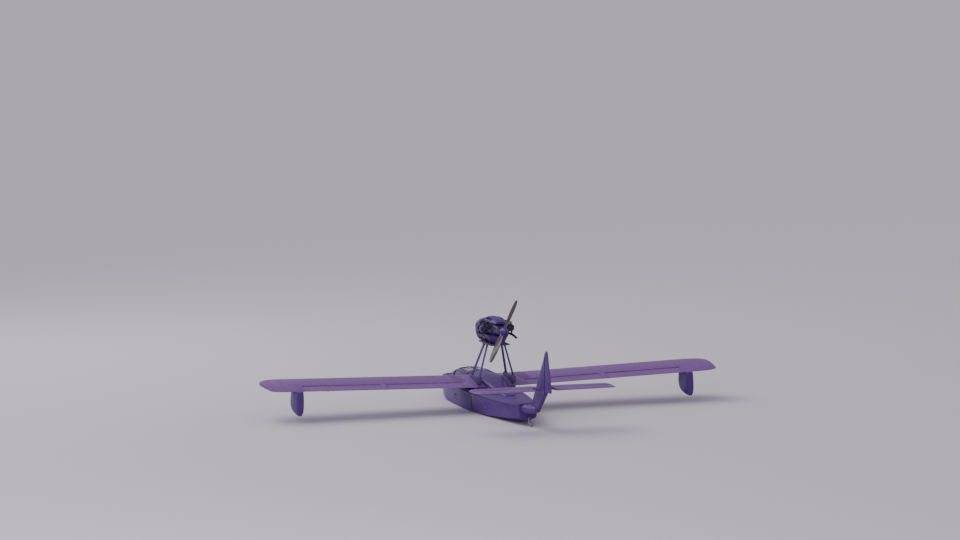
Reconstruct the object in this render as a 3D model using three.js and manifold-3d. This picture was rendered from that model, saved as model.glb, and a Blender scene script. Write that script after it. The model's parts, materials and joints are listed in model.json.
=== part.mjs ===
// A small single-engine flying boat: a stepped hull with a two-seat cabin, a shoulder wing with a float
// under each tip, a pusher engine on a four-leg pylon and a tailplane set low on a swept fin.
// Millimetres. +X is forward, +Y is port and +Z is up. The origin is on the centre plane, at the
// waterline that the boat floats at, below the middle of the wing's chord.
import * as THREE from "three";
import { mergeVertices } from "three/addons/utils/BufferGeometryUtils.js";
import Module from "manifold-3d";

const wasm = await Module();
wasm.setup();

// Driving dimensions
const SEAT_GAP = 0.3; // between pieces that rest on each other
const BEARING_GAP = 0.4; // between a turning piece and the boss that carries it
const RUN_GAP = 8; // round a moving surface

const WING = {
  leadX: 750,
  chord: 1280,
  underZ: 600,
  centreY: 620, // half width of the centre section
  panel: 4830, // length of an outer panel
  dihedral: THREE.MathUtils.degToRad(1.5),
};
const CONTROL = {
  hingeX: -248, // hinge line of the ailerons and flaps
  hingeUp: 41, // its height over the wing's flat underside
  noseR: 37,
  bossR: 12,
  flap: [140, 1980],
  aileron: [2130, 3980],
};
const FLOAT = { x: -270, y: 4110, length: 690, thick: 180, height: 550 };
const STEP_X = -250; // where the forebody ends
const HEEL_X = -2750; // where the afterbody ends
const TAIL_END_X = -3450;
const DECK_Z = 500;
const CLEAT = { x: 2650, z: 566 };
const CABIN = { aftX: 720, frontX: 2260, floorZ: -80 };
const CANOPY = { aftX: 832, frontX: 2330, sillZ: DECK_Z + SEAT_GAP, wall: 26 };
const HINGE = { x: CANOPY.frontX + 22, z: 542, radius: 14, earY: [190, 280] }; // the canopy's
const PYLON = { footY: 410, footZ: 822, topY: 205, topZ: 1575 };
const ENGINE = { shaftZ: 1935, backX: -800, frontX: -130, halfY: 150, underZ: 1817, topZ: 2080 };
const PROP = { x: -1000, radius: 780, hubR: 75, hubHalf: 45, turn: THREE.MathUtils.degToRad(25) };
const FIN = { halfThick: 46, backX: -4010, topZ: 1800, sweep: 0.75 };
const RUDDER = { hingeX: -4060, noseR: 40, bottomZ: 935, topZ: 1850 };
const TAIL = { z: 970, halfSpan: 1650, leadX: -3390, hingeX: -3790, tubeR: 14 };

// Joining and cutting
function solid(geometry) {
  const bare = geometry.clone();
  bare.deleteAttribute("normal");
  bare.deleteAttribute("uv");
  const merged = mergeVertices(bare, 1e-3);
  const make = (triVerts) =>
    new wasm.Manifold(
      new wasm.Mesh({ numProp: 3, vertProperties: merged.attributes.position.array, triVerts }),
    );
  const faces = new Uint32Array(merged.index.array);
  const made = make(faces);
  return made.volume() < 0 ? make(faces.reverse()) : made;
}

function geometryOf(shape) {
  const mesh = shape.getMesh();
  const points = new Float32Array(mesh.numVert * 3);
  for (let i = 0; i < mesh.numVert; i++) {
    points.set(mesh.vertProperties.subarray(i * mesh.numProp, i * mesh.numProp + 3), i * 3);
  }
  const geometry = new THREE.BufferGeometry();
  geometry.setAttribute("position", new THREE.BufferAttribute(points, 3));
  geometry.setIndex(new THREE.BufferAttribute(new Uint32Array(mesh.triVerts), 1));
  return geometry;
}

const join = (...shapes) => shapes.reduce((whole, shape) => whole.add(shape));
const moved = (shape, x, y, z) => shape.translate([x, y, z]);
const mirrored = (shape) => shape.mirror([0, 1, 0]);

// Shapes
function box(x, y, z) {
  const geometry = new THREE.BoxGeometry(x[1] - x[0], y[1] - y[0], z[1] - z[0]);
  return solid(geometry.translate((x[0] + x[1]) / 2, (y[0] + y[1]) / 2, (z[0] + z[1]) / 2));
}

// A skin over rings of equal count, closed at both ends. Each ring is a list of [x, y, z], and on a
// form with two like sides its halves are mirror images, so their faces are split the same way.
function loft(rings) {
  const count = rings[0].length;
  const position = rings.flat(2);
  const index = [];
  for (let r = 0; r + 1 < rings.length; r++) {
    for (let i = 0; i < count; i++) {
      const a = r * count + i;
      const b = r * count + ((i + 1) % count);
      const c = a + count;
      const d = b + count;
      const firstHalf = i < Math.floor(count / 2);
      index.push(...(firstHalf ? [a, b, c, b, d, c] : [a, b, d, a, d, c]));
    }
  }
  for (const [r, turn] of [[0, true], [rings.length - 1, false]]) {
    for (const face of capFaces(rings[r])) {
      const [a, b, c] = face.map((i) => r * count + i);
      index.push(...(turn ? [a, c, b] : [a, b, c]));
    }
  }
  const geometry = new THREE.BufferGeometry();
  geometry.setAttribute("position", new THREE.Float32BufferAttribute(position, 3));
  geometry.setIndex(index);
  return solid(geometry);
}

// Triangles over one flat ring, wound as the ring is.
function capFaces(ring) {
  const points = ring.map((p) => new THREE.Vector3(...p));
  const normal = new THREE.Vector3();
  points.forEach((p, i) => {
    const q = points[(i + 1) % points.length];
    normal.add(p.clone().cross(q));
  });
  const across = points[1].clone().sub(points[0]).normalize();
  const along = normal.normalize().clone().cross(across);
  const flat = points.map((p) => new THREE.Vector2(p.dot(across), p.dot(along)));
  return THREE.ShapeUtils.triangulateShape(flat, []);
}

// An outline pushed out sideways along Y, from y[0] to y[1]; its points are [x, z].
function slabY(outline, y) {
  return loft(y.map((at) => outline.map(([x, z]) => [x, at, z])));
}

// A turned piece: its profile is a list of [radius, distance along the axis].
function turned(profile, sides, axis, at) {
  const geometry = new THREE.LatheGeometry(profile.map(([r, d]) => new THREE.Vector2(r, d)), sides);
  if (axis === "x") geometry.rotateZ(-Math.PI / 2);
  if (axis === "z") geometry.rotateX(Math.PI / 2);
  return solid(geometry.translate(...at));
}

const rod = (radius, from, to, sides, axis, at) =>
  turned([[0, from], [radius, from], [radius, to], [0, to]], sides, axis, at);

function tube(points, radius, sides) {
  const path = new THREE.CatmullRomCurve3(points.map((p) => new THREE.Vector3(...p)), false, "centripetal");
  const section = new THREE.Shape().absarc(0, 0, radius, 0, 2 * Math.PI);
  const options = {
    steps: 4 * (points.length - 1),
    curveSegments: sides,
    extrudePath: path,
    bevelEnabled: false,
  };
  return solid(new THREE.ExtrudeGeometry(section, options));
}

// A ring with two like sides: its port points at x, then the same points to starboard.
function twoSided(x, port, middleZ) {
  const top = middleZ === undefined ? [] : [[x, 0, middleZ]];
  return [...port.map(([y, z]) => [x, y, z]), ...top, ...port.toReversed().map(([y, z]) => [x, -y, z])];
}

// Half of a round nose, from its top to its bottom: distances from the axis, ahead and up.
const NOSE_STEPS = 6;
const noseArc = (radius) =>
  Array.from({ length: NOSE_STEPS + 1 }, (unused, i) => {
    const angle = Math.PI / 2 - (Math.PI * i) / NOSE_STEPS;
    return [radius * Math.cos(angle), radius * Math.sin(angle)];
  });

// Rows of a table with more rows put between them on a smooth curve. The first column orders them.
function faired(rows, between) {
  const steps = rows.map((row) => Math.abs(row[0] - rows[0][0]));
  const curve = new THREE.CubicInterpolant(steps, rows.flat(), rows[0].length);
  const fine = [];
  steps.forEach((step, i) => {
    const next = steps[i + 1];
    const parts = next === undefined ? 1 : between + 1;
    for (let k = 0; k < parts; k++) {
      fine.push([...curve.evaluate(next === undefined ? step : step + ((next - step) * k) / parts)]);
    }
  });
  return fine;
}

// Hull
// x, keel z, chine y, chine z, gunwale y, gunwale z, deck edge y, deck edge z, deck middle z
const FOREBODY = [
  [-250, -250, 560, -46, 570, 420, 470, 500, 500],
  [500, -250, 560, -46, 572, 420, 472, 500, 500],
  [1100, -250, 556, -40, 568, 420, 468, 500, 500],
  [1600, -246, 532, -14, 548, 422, 450, 500, 502],
  [2000, -222, 486, 46, 514, 426, 418, 500, 508],
  [2360, -150, 408, 132, 450, 432, 362, 498, 520],
  [2660, -30, 306, 226, 358, 438, 282, 490, 512],
  [2880, 120, 182, 312, 236, 444, 180, 478, 492],
  [3000, 300, 56, 380, 78, 450, 58, 464, 470],
];
const AFTERBODY = [
  [-250.3, -165, 540, 10, 570, 420, 470, 500, 500],
  [-750, -142, 506, 22, 546, 424, 446, 500, 500],
  [-1300, -96, 440, 50, 482, 430, 384, 500, 503],
  [-1900, -32, 350, 94, 388, 436, 304, 498, 503],
  [-2400, 44, 262, 140, 294, 442, 226, 498, 506],
  [HEEL_X, 104, 196, 178, 226, 446, 170, 500, 510],
];
function hullRing([x, keelZ, chineY, chineZ, gunY, gunZ, deckY, deckZ, topZ], grow = 0) {
  const side = [
    [chineY + grow, chineZ],
    [gunY + grow, gunZ],
    [(gunY + deckY) / 2 + 22 + grow, (gunZ + deckZ) / 2 + 18 + grow],
    [deckY, deckZ + grow],
    [deckY * 0.5, deckZ + (topZ - deckZ) * 0.75 + grow],
  ];
  return [[x, 0, keelZ - grow], ...twoSided(x, side, topZ + grow)];
}
const hullForm = (table, grow = 0) => loft(faired(table, 1).map((row) => hullRing(row, grow)));

// The raised part of the hull that the wing rests on, from x[0] to x[1]: half width and z.
const SADDLE_SIDE = [[470, DECK_Z - 20], [440, WING.underZ - SEAT_GAP]];
const saddle = (x) => loft(x.map((at) => twoSided(at, SADDLE_SIDE)));

// The open cabin
const CABIN_SIDE_Z = 400; // where its sides start to lean in
const CABIN_EDGE_Z = 462;
// x, floor half width, floor z, side half width, side z, opening half width
const CABIN_ROOM = [
  [CABIN.aftX, 300, CABIN.floorZ, 518, 20, 430],
  [1500, 285, CABIN.floorZ, 496, 30, 420],
  [1900, 210, CABIN.floorZ, 452, 80, 376],
  [2150, 130, CABIN.floorZ, 408, 120, 330],
  [CABIN.frontX, 90, CABIN.floorZ + 20, 370, 150, 300],
];
function cabinRoom() {
  return loft(
    CABIN_ROOM.map(([x, floorY, floorZ, sideY, sideZ, openY]) => {
      const side = [[floorY, floorZ], [sideY, sideZ], [sideY, CABIN_SIDE_Z], [openY, CABIN_EDGE_Z]];
      return twoSided(x, [...side, [openY, DECK_Z + 140]]);
    }),
  );
}

const hullForward = join(hullForm(FOREBODY), saddle([STEP_X, 778])).subtract(cabinRoom());
const CONE_SIDES = 14;
// x, bottom z, half width, widest z, top z
const TAIL_CONE = [
  [HEEL_X + 40, 236, 186, 400, 498],
  [-3100, 310, 130, 430, 508],
  [TAIL_END_X, 388, 66, 450, 512],
];
function tailCone() {
  return loft(
    TAIL_CONE.map(([x, bottomZ, halfY, wideZ, topZ]) =>
      Array.from({ length: CONE_SIDES }, (unused, i) => {
        const angle = (2 * Math.PI * i) / CONE_SIDES - Math.PI / 2;
        const rise = Math.sin(angle);
        return [x, halfY * Math.cos(angle), wideZ + rise * (rise > 0 ? topZ - wideZ : wideZ - bottomZ)];
      }),
    ),
  );
}
const SADDLE_AFT_X = WING.leadX - WING.chord + 10;
const hullAft = join(hullForm(AFTERBODY), saddle([SADDLE_AFT_X, STEP_X - SEAT_GAP]), tailCone());

function keelStrip() {
  return box([STEP_X + 10, 1350], [-24, 24], [-264, -232]).subtract(hullForm(FOREBODY, BEARING_GAP));
}

function sprayRail() {
  const rings = faired(FOREBODY.slice(0, 8), 1).map(([x, , chineY, chineZ]) => [
    [x, chineY - 30, chineZ + 34],
    [x, chineY - 30, chineZ - 10],
    [x, chineY + 34, chineZ - 8],
  ]);
  return loft(rings).subtract(hullForm(FOREBODY, BEARING_GAP));
}

function mooringCleat() {
  const { x, z } = CLEAT;
  const foot = box([x - 45, x + 45], [-45, 45], [z - 60, z - 40]);
  const post = rod(16, z - 50, z - 10, 10, "z", [x, 0, 0]);
  const horns = box([x - 15, x + 15], [-85, 85], [z - 20, z]);
  return join(foot, post, horns).subtract(moved(hullForm(FOREBODY), 0, 0, SEAT_GAP));
}

// Wing
// distance behind the leading edge, upper side, lower side: parts of the chord
const SECTION = [
  [0, 0.04, 0.04],
  [0.0125, 0.0625, 0.022],
  [0.05, 0.0905, 0.0105],
  [0.1, 0.11, 0.0048],
  [0.2, 0.1305, 0.0003],
  [0.3, 0.1345, 0],
  [0.45, 0.126, 0],
  [0.6, 0.105, 0],
  [0.8, 0.06, 0],
  [1, 0.003, 0],
];
function wingRing(y, chord, leadX, up, grow = 0, lean = 0) {
  const point = (back, z) => [leadX - back * chord, y + lean * z * chord, up + z * chord];
  const upper = SECTION.map(([back, top]) => point(back, top));
  const lower = SECTION.slice(1)
    .filter(([, , low], i) => low > 0 || i === SECTION.length - 2)
    .toReversed()
    .map(([back, , low]) => point(back, low));
  return [...upper, ...lower].map(([x, a, z], i) => {
    const ahead = i < 2 ? grow : 0;
    return [x + ahead, a, z + (i < upper.length ? grow : -grow)];
  });
}

function wingCentre(grow = 0) {
  const { centreY, chord, leadX, underZ } = WING;
  return loft([-1, 1].map((side) => wingRing(side * (centreY + grow), chord, leadX, underZ, grow)));
}

// A flap or aileron between two places along the panel, in the panel's own frame.
function controlSurface([from, to], gap) {
  const { hingeX, hingeUp, noseR } = CONTROL;
  const arc = noseArc(noseR).map(([ahead, up]) => [hingeX + ahead, hingeUp + up]);
  const tailX = WING.leadX - WING.chord;
  return slabY([...arc, [tailX, 1], [tailX, 5]], [from + gap, to - gap]);
}

// The space a control surface needs, with a boss left on the hinge line at each end.
function controlBay([from, to]) {
  const { hingeX, hingeUp, noseR } = CONTROL;
  const bay = box([WING.leadX - WING.chord - 50, hingeX + noseR + RUN_GAP], [from, to], [-60, 300]);
  const boss = (y) => rod(CONTROL.bossR, y[0], y[1], 12, "y", [hingeX, 0, hingeUp]);
  const reach = RUN_GAP - BEARING_GAP;
  return bay.subtract(boss([from - 1, from + reach])).subtract(boss([to - reach, to + 1]));
}

// The rounded tip: distance in from its end, cut from the front, cut from the back, rise of the underside
const WING_TIP = [
  [460, 0, 0, 0],
  [300, 25, 0, 2],
  [170, 80, 8, 7],
  [80, 160, 25, 16],
  [25, 260, 55, 29],
  [0, 400, 105, 44],
];
function wingPanel() {
  const { panel, chord, leadX, dihedral } = WING;
  const tip = WING_TIP.map(([inward, front, back, up]) =>
    wingRing(panel - inward, chord - front - back, leadX - front, up),
  );
  const skin = loft([wingRing(0, chord, leadX, 0, 0, Math.tan(dihedral)), ...tip]);
  const plate = box([180, 260], [2560, 2640], [-8, 3]);
  return join(skin, plate).subtract(controlBay(CONTROL.flap)).subtract(controlBay(CONTROL.aileron));
}

function tipFloat() {
  const { x, y, length, thick, height } = FLOAT;
  const bow = x + length / 2;
  const stern = x - length / 2;
  // height below the wing, x of bow and stern there, half thickness
  const levels = [
    [SEAT_GAP, bow - 30, stern, thick * 0.42],
    [height * 0.3, bow, stern, thick * 0.5],
    [height * 0.62, bow - 8, stern, thick * 0.5],
    [height * 0.8, bow - 100, stern, thick * 0.46],
    [height * 0.92, bow - 250, stern + 2, thick * 0.34],
    [height, bow - 430, stern + 10, thick * 0.18],
  ];
  // along the level from its bow, share of the half thickness
  const outline = [[0, 0.12], [0.03, 0.42], [0.08, 0.72], [0.16, 0.94], [0.26, 1], [0.93, 1], [1, 0.82]];
  return loft(
    faired(levels, 1).map(([down, bowX, sternX, half]) => {
      const at = ([along, share]) => [bowX + (sternX - bowX) * along, y + half * share, -down];
      return [...outline.map(at), ...outline.toReversed().map(([along, share]) => at([along, -share]))];
    }),
  );
}

// The dorsal fairing from the cabin's roof over the wing to the aft deck.
function dorsalFairing() {
  // x, half width, shoulder z, top z
  const table = [
    [780, 310, 700, 800],
    [400, 310, 740, 814],
    [-100, 300, 720, 800],
    [-600, 270, 620, 708],
    [-1050, 210, 540, 590],
    [-1500, 120, 504, 520],
  ];
  const rings = table.map(([x, halfY, edgeZ, topZ]) => {
    const shoulder = [halfY * 0.86, edgeZ + (topZ - edgeZ) * 0.62];
    const crown = [halfY * 0.45, topZ - (topZ - edgeZ) * 0.08];
    return twoSided(x, [[halfY, DECK_Z - 50], [halfY, edgeZ], shoulder, crown], topZ);
  });
  const underWing = box([WING.leadX - WING.chord - 1, 1000], [-500, 500], [400, WING.underZ + 20]);
  return loft(rings)
    .subtract(underWing)
    .subtract(wingCentre(SEAT_GAP))
    .subtract(moved(hullAft, 0, 0, SEAT_GAP));
}

// Cabin pieces
// x, sill half width, shoulder half width, shoulder z, roof z
const CANOPY_TABLE = [
  [CANOPY.aftX, 470, 356, 744, 800],
  [1250, 462, 350, 754, 812],
  [1660, 436, 312, 738, 792],
  [CANOPY.frontX, 330, 250, 520, 534],
];
function canopyRing([x, sillY, shoulderY, shoulderZ, roofZ], wall, sill) {
  const edge = [
    [sillY - wall, sill],
    [sillY - wall, sill + 12],
    [shoulderY - wall * 0.6, shoulderZ - wall * 0.6],
    [shoulderY * 0.6, roofZ - (roofZ - shoulderZ) * 0.22 - wall],
  ];
  return twoSided(x, edge, roofZ - wall);
}
const canopyForm = (wall) =>
  loft(
    CANOPY_TABLE.map((row, i) => {
      const place = [...row];
      if (wall && i === 0) place[0] -= 50;
      if (wall && i === CANOPY_TABLE.length - 1) place[0] -= wall * 3;
      return canopyRing(place, wall, wall ? CANOPY.sillZ - 20 : CANOPY.sillZ);
    }),
  );

// Windows: outlines seen from the side, and for the windscreen from above.
const SIDE_WINDOW = [[930, 560], [1700, 560], [1620, 716], [1560, 722], [930, 712]];
const SCREEN_PANE = [[2210, 22], [1740, 22], [1740, 262], [1800, 280], [2210, 226]];
const ROOF_PANE = [[1600, 24], [930, 24], [930, 268], [1600, 240]];
function shrunk(outline, by) {
  const mid = outline.reduce(([a, b], [x, z]) => [a + x / outline.length, b + z / outline.length], [0, 0]);
  return outline.map(([x, z]) => [x - Math.sign(x - mid[0]) * by, z - Math.sign(z - mid[1]) * by]);
}
const sidePrism = (by) => slabY(shrunk(SIDE_WINDOW, by), [250, 600]);
function topPrism(outline, by) {
  const edge = shrunk(outline, by);
  return loft([400, 1000].map((z) => edge.map(([x, y]) => [x, y, z])));
}
const OPENINGS = [sidePrism, (by) => topPrism(SCREEN_PANE, by), (by) => topPrism(ROOF_PANE, by)];
const PANE_DEPTH = [8, 15]; // of a pane's two faces below the canopy's skin

function canopyFrame() {
  const holes = join(...OPENINGS.map((opening) => opening(0)));
  const shell = canopyForm(0).subtract(canopyForm(CANOPY.wall));
  const { x, z, radius, earY } = HINGE;
  const ear = rod(radius, earY[0], earY[1], 12, "y", [x, 0, z]);
  const arm = box([CANOPY.frontX - 40, x], earY, [z - radius, z - radius + 14]);
  const deck = moved(hullForm(FOREBODY), 0, 0, SEAT_GAP);
  const frame = shell.subtract(holes).subtract(mirrored(holes)).subtract(deck);
  return join(frame, ear, arm, mirrored(ear), mirrored(arm));
}
function pane(opening) {
  const [outer, inner] = PANE_DEPTH.map(canopyForm);
  const portHalf = box([800, 2400], [5, 600], [CANOPY.sillZ + 10, 1000]);
  return outer.subtract(inner).intersect(opening(BEARING_GAP)).intersect(portHalf);
}

const BULKHEAD_X = [782, 822];
function cabinBulkhead() {
  const section = CANOPY_TABLE[0].slice(1);
  return loft(BULKHEAD_X.map((x) => canopyRing([x, ...section], 0, CANOPY.sillZ)));
}

const FLOOR_TOP = CABIN.floorZ + 18;
function cabinFloor() {
  const outline = [[735, 240], [1480, 240], [1880, 190], [2140, 115]];
  const whole = [...outline, ...outline.toReversed().map(([x, y]) => [x, -y])];
  return loft([CABIN.floorZ + SEAT_GAP, FLOOR_TOP].map((z) => whole.map(([x, y]) => [x, y, z])));
}

const SEAT = { aftX: 960, frontX: 1400, topZ: 40, halfY: 430, y: 205, half: 182, rake: 0.22 };
function seatBench() {
  const { aftX, frontX, topZ, halfY, rake } = SEAT;
  // what the hull's bottom cuts off the base, as half widths and z
  const bilge = [[200, 0], [480, 30], [480, -100], [200, -100]];
  const cut = loft([aftX - 10, frontX + 10].map((x) => bilge.map(([y, z]) => [x, y, z])));
  const whole = box([aftX, frontX], [-halfY, halfY], [FLOOR_TOP + SEAT_GAP, topZ]);
  const base = whole.subtract(cut).subtract(mirrored(cut));
  const rise = 520;
  const foot = -60;
  const outline = [
    [aftX - rake * foot, topZ + foot],
    [aftX + 22 - rake * foot, topZ + foot],
    [aftX + 22 - rake * rise, topZ + rise],
    [aftX - rake * rise, topZ + rise],
  ];
  const back = slabY(outline, [-SEAT.y - SEAT.half, SEAT.y + SEAT.half]);
  return join(base, back);
}
function seatCushion() {
  const { aftX, frontX, topZ, y, half } = SEAT;
  const z = topZ + SEAT_GAP;
  // z, how far the edge is drawn in
  const levels = [
    [z, 8],
    [z + 50, 0],
    [z + 85, 26],
  ];
  return loft(
    levels.map(([at, inset]) => [
      [aftX + 50 + inset, y - half + inset, at],
      [frontX + 10 - inset, y - half + inset, at],
      [frontX + 10 - inset, y + half - inset, at],
      [aftX + 50 + inset, y + half - inset, at],
    ]),
  );
}
function seatBack() {
  const { aftX, topZ, y, half, rake } = SEAT;
  const at = (up, out) => aftX + 22 + SEAT_GAP + out - rake * up;
  // height over the bench, thickness
  const rows = [
    [100, 8],
    [120, 60],
    [430, 60],
    [480, 10],
  ];
  const front = rows.map(([up, out]) => [at(up, out), topZ + up]);
  const back = [rows.at(-1), rows[0]].map(([up]) => [at(up, 0), topZ + up]);
  return slabY([...front, ...back], [y - half, y + half]);
}

const PANEL = { x: [1950, 1972], halfY: 450, z: [300, 459] };
function instrumentPanel() {
  return box(PANEL.x, [-PANEL.halfY, PANEL.halfY], PANEL.z)
    .subtract(moved(hullForward, 0, BEARING_GAP, 0))
    .subtract(moved(hullForward, 0, -BEARING_GAP, 0));
}
const STICK_X = 1600;
function controlStick() {
  const base = FLOOR_TOP + SEAT_GAP;
  const boot = [[0, base], [46, base], [40, base + 20], [13, base + 46]];
  const grip = [[13, 250], [20, 262], [20, 370], [0, 378]];
  return turned([...boot, ...grip], 12, "z", [STICK_X, 0, 0]);
}
function rudderPedals() {
  const x = 2060;
  const bar = box([x - 12, x + 12], [-315, 315], [40, 64]);
  const legs = [-100, 100].map((y) => box([x - 14, x + 14], [y - 14, y + 14], [FLOOR_TOP + SEAT_GAP, 50]));
  const padYs = [-SEAT.y, SEAT.y].flatMap((y) => [y - 70, y + 70]);
  const pads = padYs.map((y) =>
    join(
      box([x - 6, x + 6], [y - 10, y + 10], [50, 130]),
      box([x - 12, x + 12], [y - 32, y + 32], [96, 180]),
    ),
  );
  return join(bar, ...legs, ...pads);
}

// Tail
const finLeadX = (z) => TAIL.leadX + 20 - FIN.sweep * (z - TAIL.z);
function finForm() {
  // z, half thickness, x of the back edge
  const levels = [
    [430, FIN.halfThick, TAIL_END_X - 20],
    [RUDDER.bottomZ - 60, FIN.halfThick, FIN.backX],
    [TAIL.z + 110, FIN.halfThick, FIN.backX],
    [1640, 30, FIN.backX],
    [FIN.topZ, 22, FIN.backX],
  ];
  const fin = loft(
    levels.map(([z, half, backX]) => {
      const lead = Math.max(finLeadX(z), backX + 44);
      const nose = Math.min(150, (lead - backX) * 0.7);
      const side = [[lead - nose * 0.25, half * 0.62], [lead - nose, half], [backX, half]];
      const port = side.map(([x, y]) => [x, y, z]);
      const starboard = side.toReversed().map(([x, y]) => [x, -y, z]);
      return [[lead, 0, z], ...port, ...starboard];
    }),
  );
  const bore = rod(TAIL.tubeR + 1, -100, 100, 20, "y", [TAIL.hingeX, 0, TAIL.z]);
  return join(fin.subtract(bore), rudderShelf()).subtract(moved(hullAft, 0, 0, SEAT_GAP));
}

// The shelf on the fin's back edge that the rudder turns on.
function rudderShelf() {
  const z = [RUDDER.bottomZ - 44, RUDDER.bottomZ - 14];
  const shelf = box([RUDDER.hingeX - 26, FIN.backX + 20], [-24, 24], z);
  const boss = rod(14, z[1] - 2, RUDDER.bottomZ - BEARING_GAP, 12, "z", [RUDDER.hingeX, 0, 0]);
  return join(shelf, boss);
}

function rudderForm() {
  // z, nose radius, x of the trailing edge
  const levels = [
    [RUDDER.bottomZ, 38, -4390],
    [RUDDER.bottomZ + 60, RUDDER.noseR, -4420],
    [RUDDER.topZ - 60, 27, -4175],
    [RUDDER.topZ, 18, -4140],
  ];
  return loft(
    levels.map(([z, radius, tailX]) => {
      const arc = noseArc(radius).map(([ahead, out]) => [RUDDER.hingeX + ahead, out, z]);
      return [...arc, [tailX, -3, z], [tailX, 3, z]];
    }),
  );
}

const ELEVATOR_NOSE_R = 30;
function tailplaneHalf() {
  const backX = TAIL.hingeX + ELEVATOR_NOSE_R + RUN_GAP;
  // y, leading edge x, half thickness
  const table = [
    [FIN.halfThick + SEAT_GAP, TAIL.leadX - 160, 36],
    [FIN.halfThick + 160, TAIL.leadX, 36],
    [TAIL.halfSpan - 90, TAIL.leadX - 60, 32],
    [TAIL.halfSpan, TAIL.leadX - 140, 18],
  ];
  const rings = table.map(([y, leadX, half]) => [
    [leadX, y, TAIL.z],
    [leadX - 24, y, TAIL.z + half * 0.6],
    [leadX - 90, y, TAIL.z + half],
    [backX, y, TAIL.z + half * 0.86],
    [backX, y, TAIL.z - half * 0.86],
    [leadX - 90, y, TAIL.z - half],
    [leadX - 24, y, TAIL.z - half * 0.6],
  ]);
  return loft(rings);
}
function elevatorHalf() {
  // y, nose radius, trailing edge x
  const rows = [
    [250, ELEVATOR_NOSE_R, TAIL.hingeX - 340],
    [TAIL.halfSpan - 90, 26, TAIL.hingeX - 300],
    [TAIL.halfSpan, 15, TAIL.hingeX - 240],
  ];
  return loft(
    rows.map(([y, radius, tailX]) => {
      const arc = noseArc(radius).map(([ahead, up]) => [TAIL.hingeX + ahead, y, TAIL.z + up]);
      return [...arc, [tailX, y, TAIL.z - 3], [tailX, y, TAIL.z + 3]];
    }),
  );
}
function elevator() {
  const half = elevatorHalf();
  return join(half, mirrored(half), rod(TAIL.tubeR, -260, 260, 20, "y", [TAIL.hingeX, 0, TAIL.z]));
}

const WATER_RUDDER = { hingeX: HEEL_X - 46, topZ: 190, bottomZ: -110 };
function waterRudder() {
  const { hingeX, topZ, bottomZ } = WATER_RUDDER;
  const post = rod(11, bottomZ + 60, topZ, 12, "z", [hingeX, 0, 0]);
  const outline = [
    [hingeX + 4, topZ - 50],
    [hingeX - 60, topZ - 60],
    [hingeX - 190, 40],
    [hingeX - 160, bottomZ + 30],
    [hingeX - 60, bottomZ],
    [hingeX + 4, bottomZ + 60],
  ];
  return join(post, slabY(outline, [-5, 5]));
}
// The bracket on the heel that the water rudder hangs from.
function waterRudderBracket() {
  const { hingeX, topZ } = WATER_RUDDER;
  return box([hingeX - 18, HEEL_X + 20], [-20, 20], [topZ + BEARING_GAP, topZ + 20]);
}

// Engine and its pylon
function pylonRail() {
  const y = [PYLON.footY - 40, PYLON.footY + 40];
  return box([SADDLE_AFT_X, 210], y, [WING.underZ + 60, PYLON.footZ]).subtract(wingCentre(SEAT_GAP));
}
function pylonLeg(footX, topX) {
  const { footY, footZ, topY, topZ } = PYLON;
  const lensHalf = [[34, 14], [6, 20], [-26, 15], [-56, 4]];
  const lens = [[50, 0], ...lensHalf, ...lensHalf.toReversed().map(([x, y]) => [x, -y])];
  return loft([
    lens.map(([x, y]) => [footX + x, footY + y, footZ + SEAT_GAP]),
    lens.map(([x, y]) => [topX + x, topY + y, topZ - SEAT_GAP]),
  ]);
}
const BED = { x: [-760, 160], halfY: 232, z: [PYLON.topZ, PYLON.topZ + 34] };
const engineBed = () => box(BED.x, [-BED.halfY, BED.halfY], BED.z);

function nacelleBelly() {
  const base = BED.z[1] + SEAT_GAP;
  const ring = (x, low, high, topZ) => [[x, -low, base], [x, low, base], [x, high, topZ], [x, -high, topZ]];
  return loft([
    ring(-770, 80, 170, 1775),
    ring(-600, 125, 265, ENGINE.underZ - SEAT_GAP),
    ring(-130, 140, 280, ENGINE.underZ - SEAT_GAP),
  ]);
}
// Half of a cowl's ring, as [y, z] from its flat bottom out to its widest height and on up.
const COWL_STEPS = 6; // on each quarter
const COWL_BULGE = 0.85; // 1 is an ellipse, and less is squarer
function cowlSide(lowY, midY, lowZ, midZ, topZ) {
  const quarter = (i) => {
    const angle = ((Math.PI / 2) * i) / COWL_STEPS;
    return [Math.cos(angle) ** COWL_BULGE, Math.sin(angle) ** COWL_BULGE];
  };
  const steps = Array.from({ length: COWL_STEPS }, (unused, i) => i);
  const below = steps.map((i) => {
    const [out, down] = quarter(COWL_STEPS - i);
    return [lowY + (midY - lowY) * out, midZ - (midZ - lowZ) * down];
  });
  const above = steps.map((i) => {
    const [out, up] = quarter(i);
    return [midY * out, midZ + (topZ - midZ) * up];
  });
  return { below, above };
}
function nacelleNose() {
  const seat = BED.z[1] + SEAT_GAP;
  // x, bottom half width, middle half width, bottom z, middle z, top z
  const table = [
    [-128, 150, 355, seat, 1935, 2167],
    [120, 140, 330, seat, 1935, 2145],
    [250, 118, 280, 1660, 1929, 2109],
    [340, 90, 212, 1725, 1921, 2055],
    [392, 50, 130, 1797, 1915, 1997],
  ];
  const whole = loft(
    faired(table, 2).map(([x, lowY, midY, lowZ, midZ, topZ]) => {
      const { below, above } = cowlSide(lowY, midY, Math.max(lowZ, seat), midZ, topZ);
      return twoSided(x, [...below, ...above], topZ);
    }),
  );
  const inlet = box([250, 400], [90, 215], [1865, 1970]);
  return whole.subtract(inlet).subtract(mirrored(inlet));
}
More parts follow.
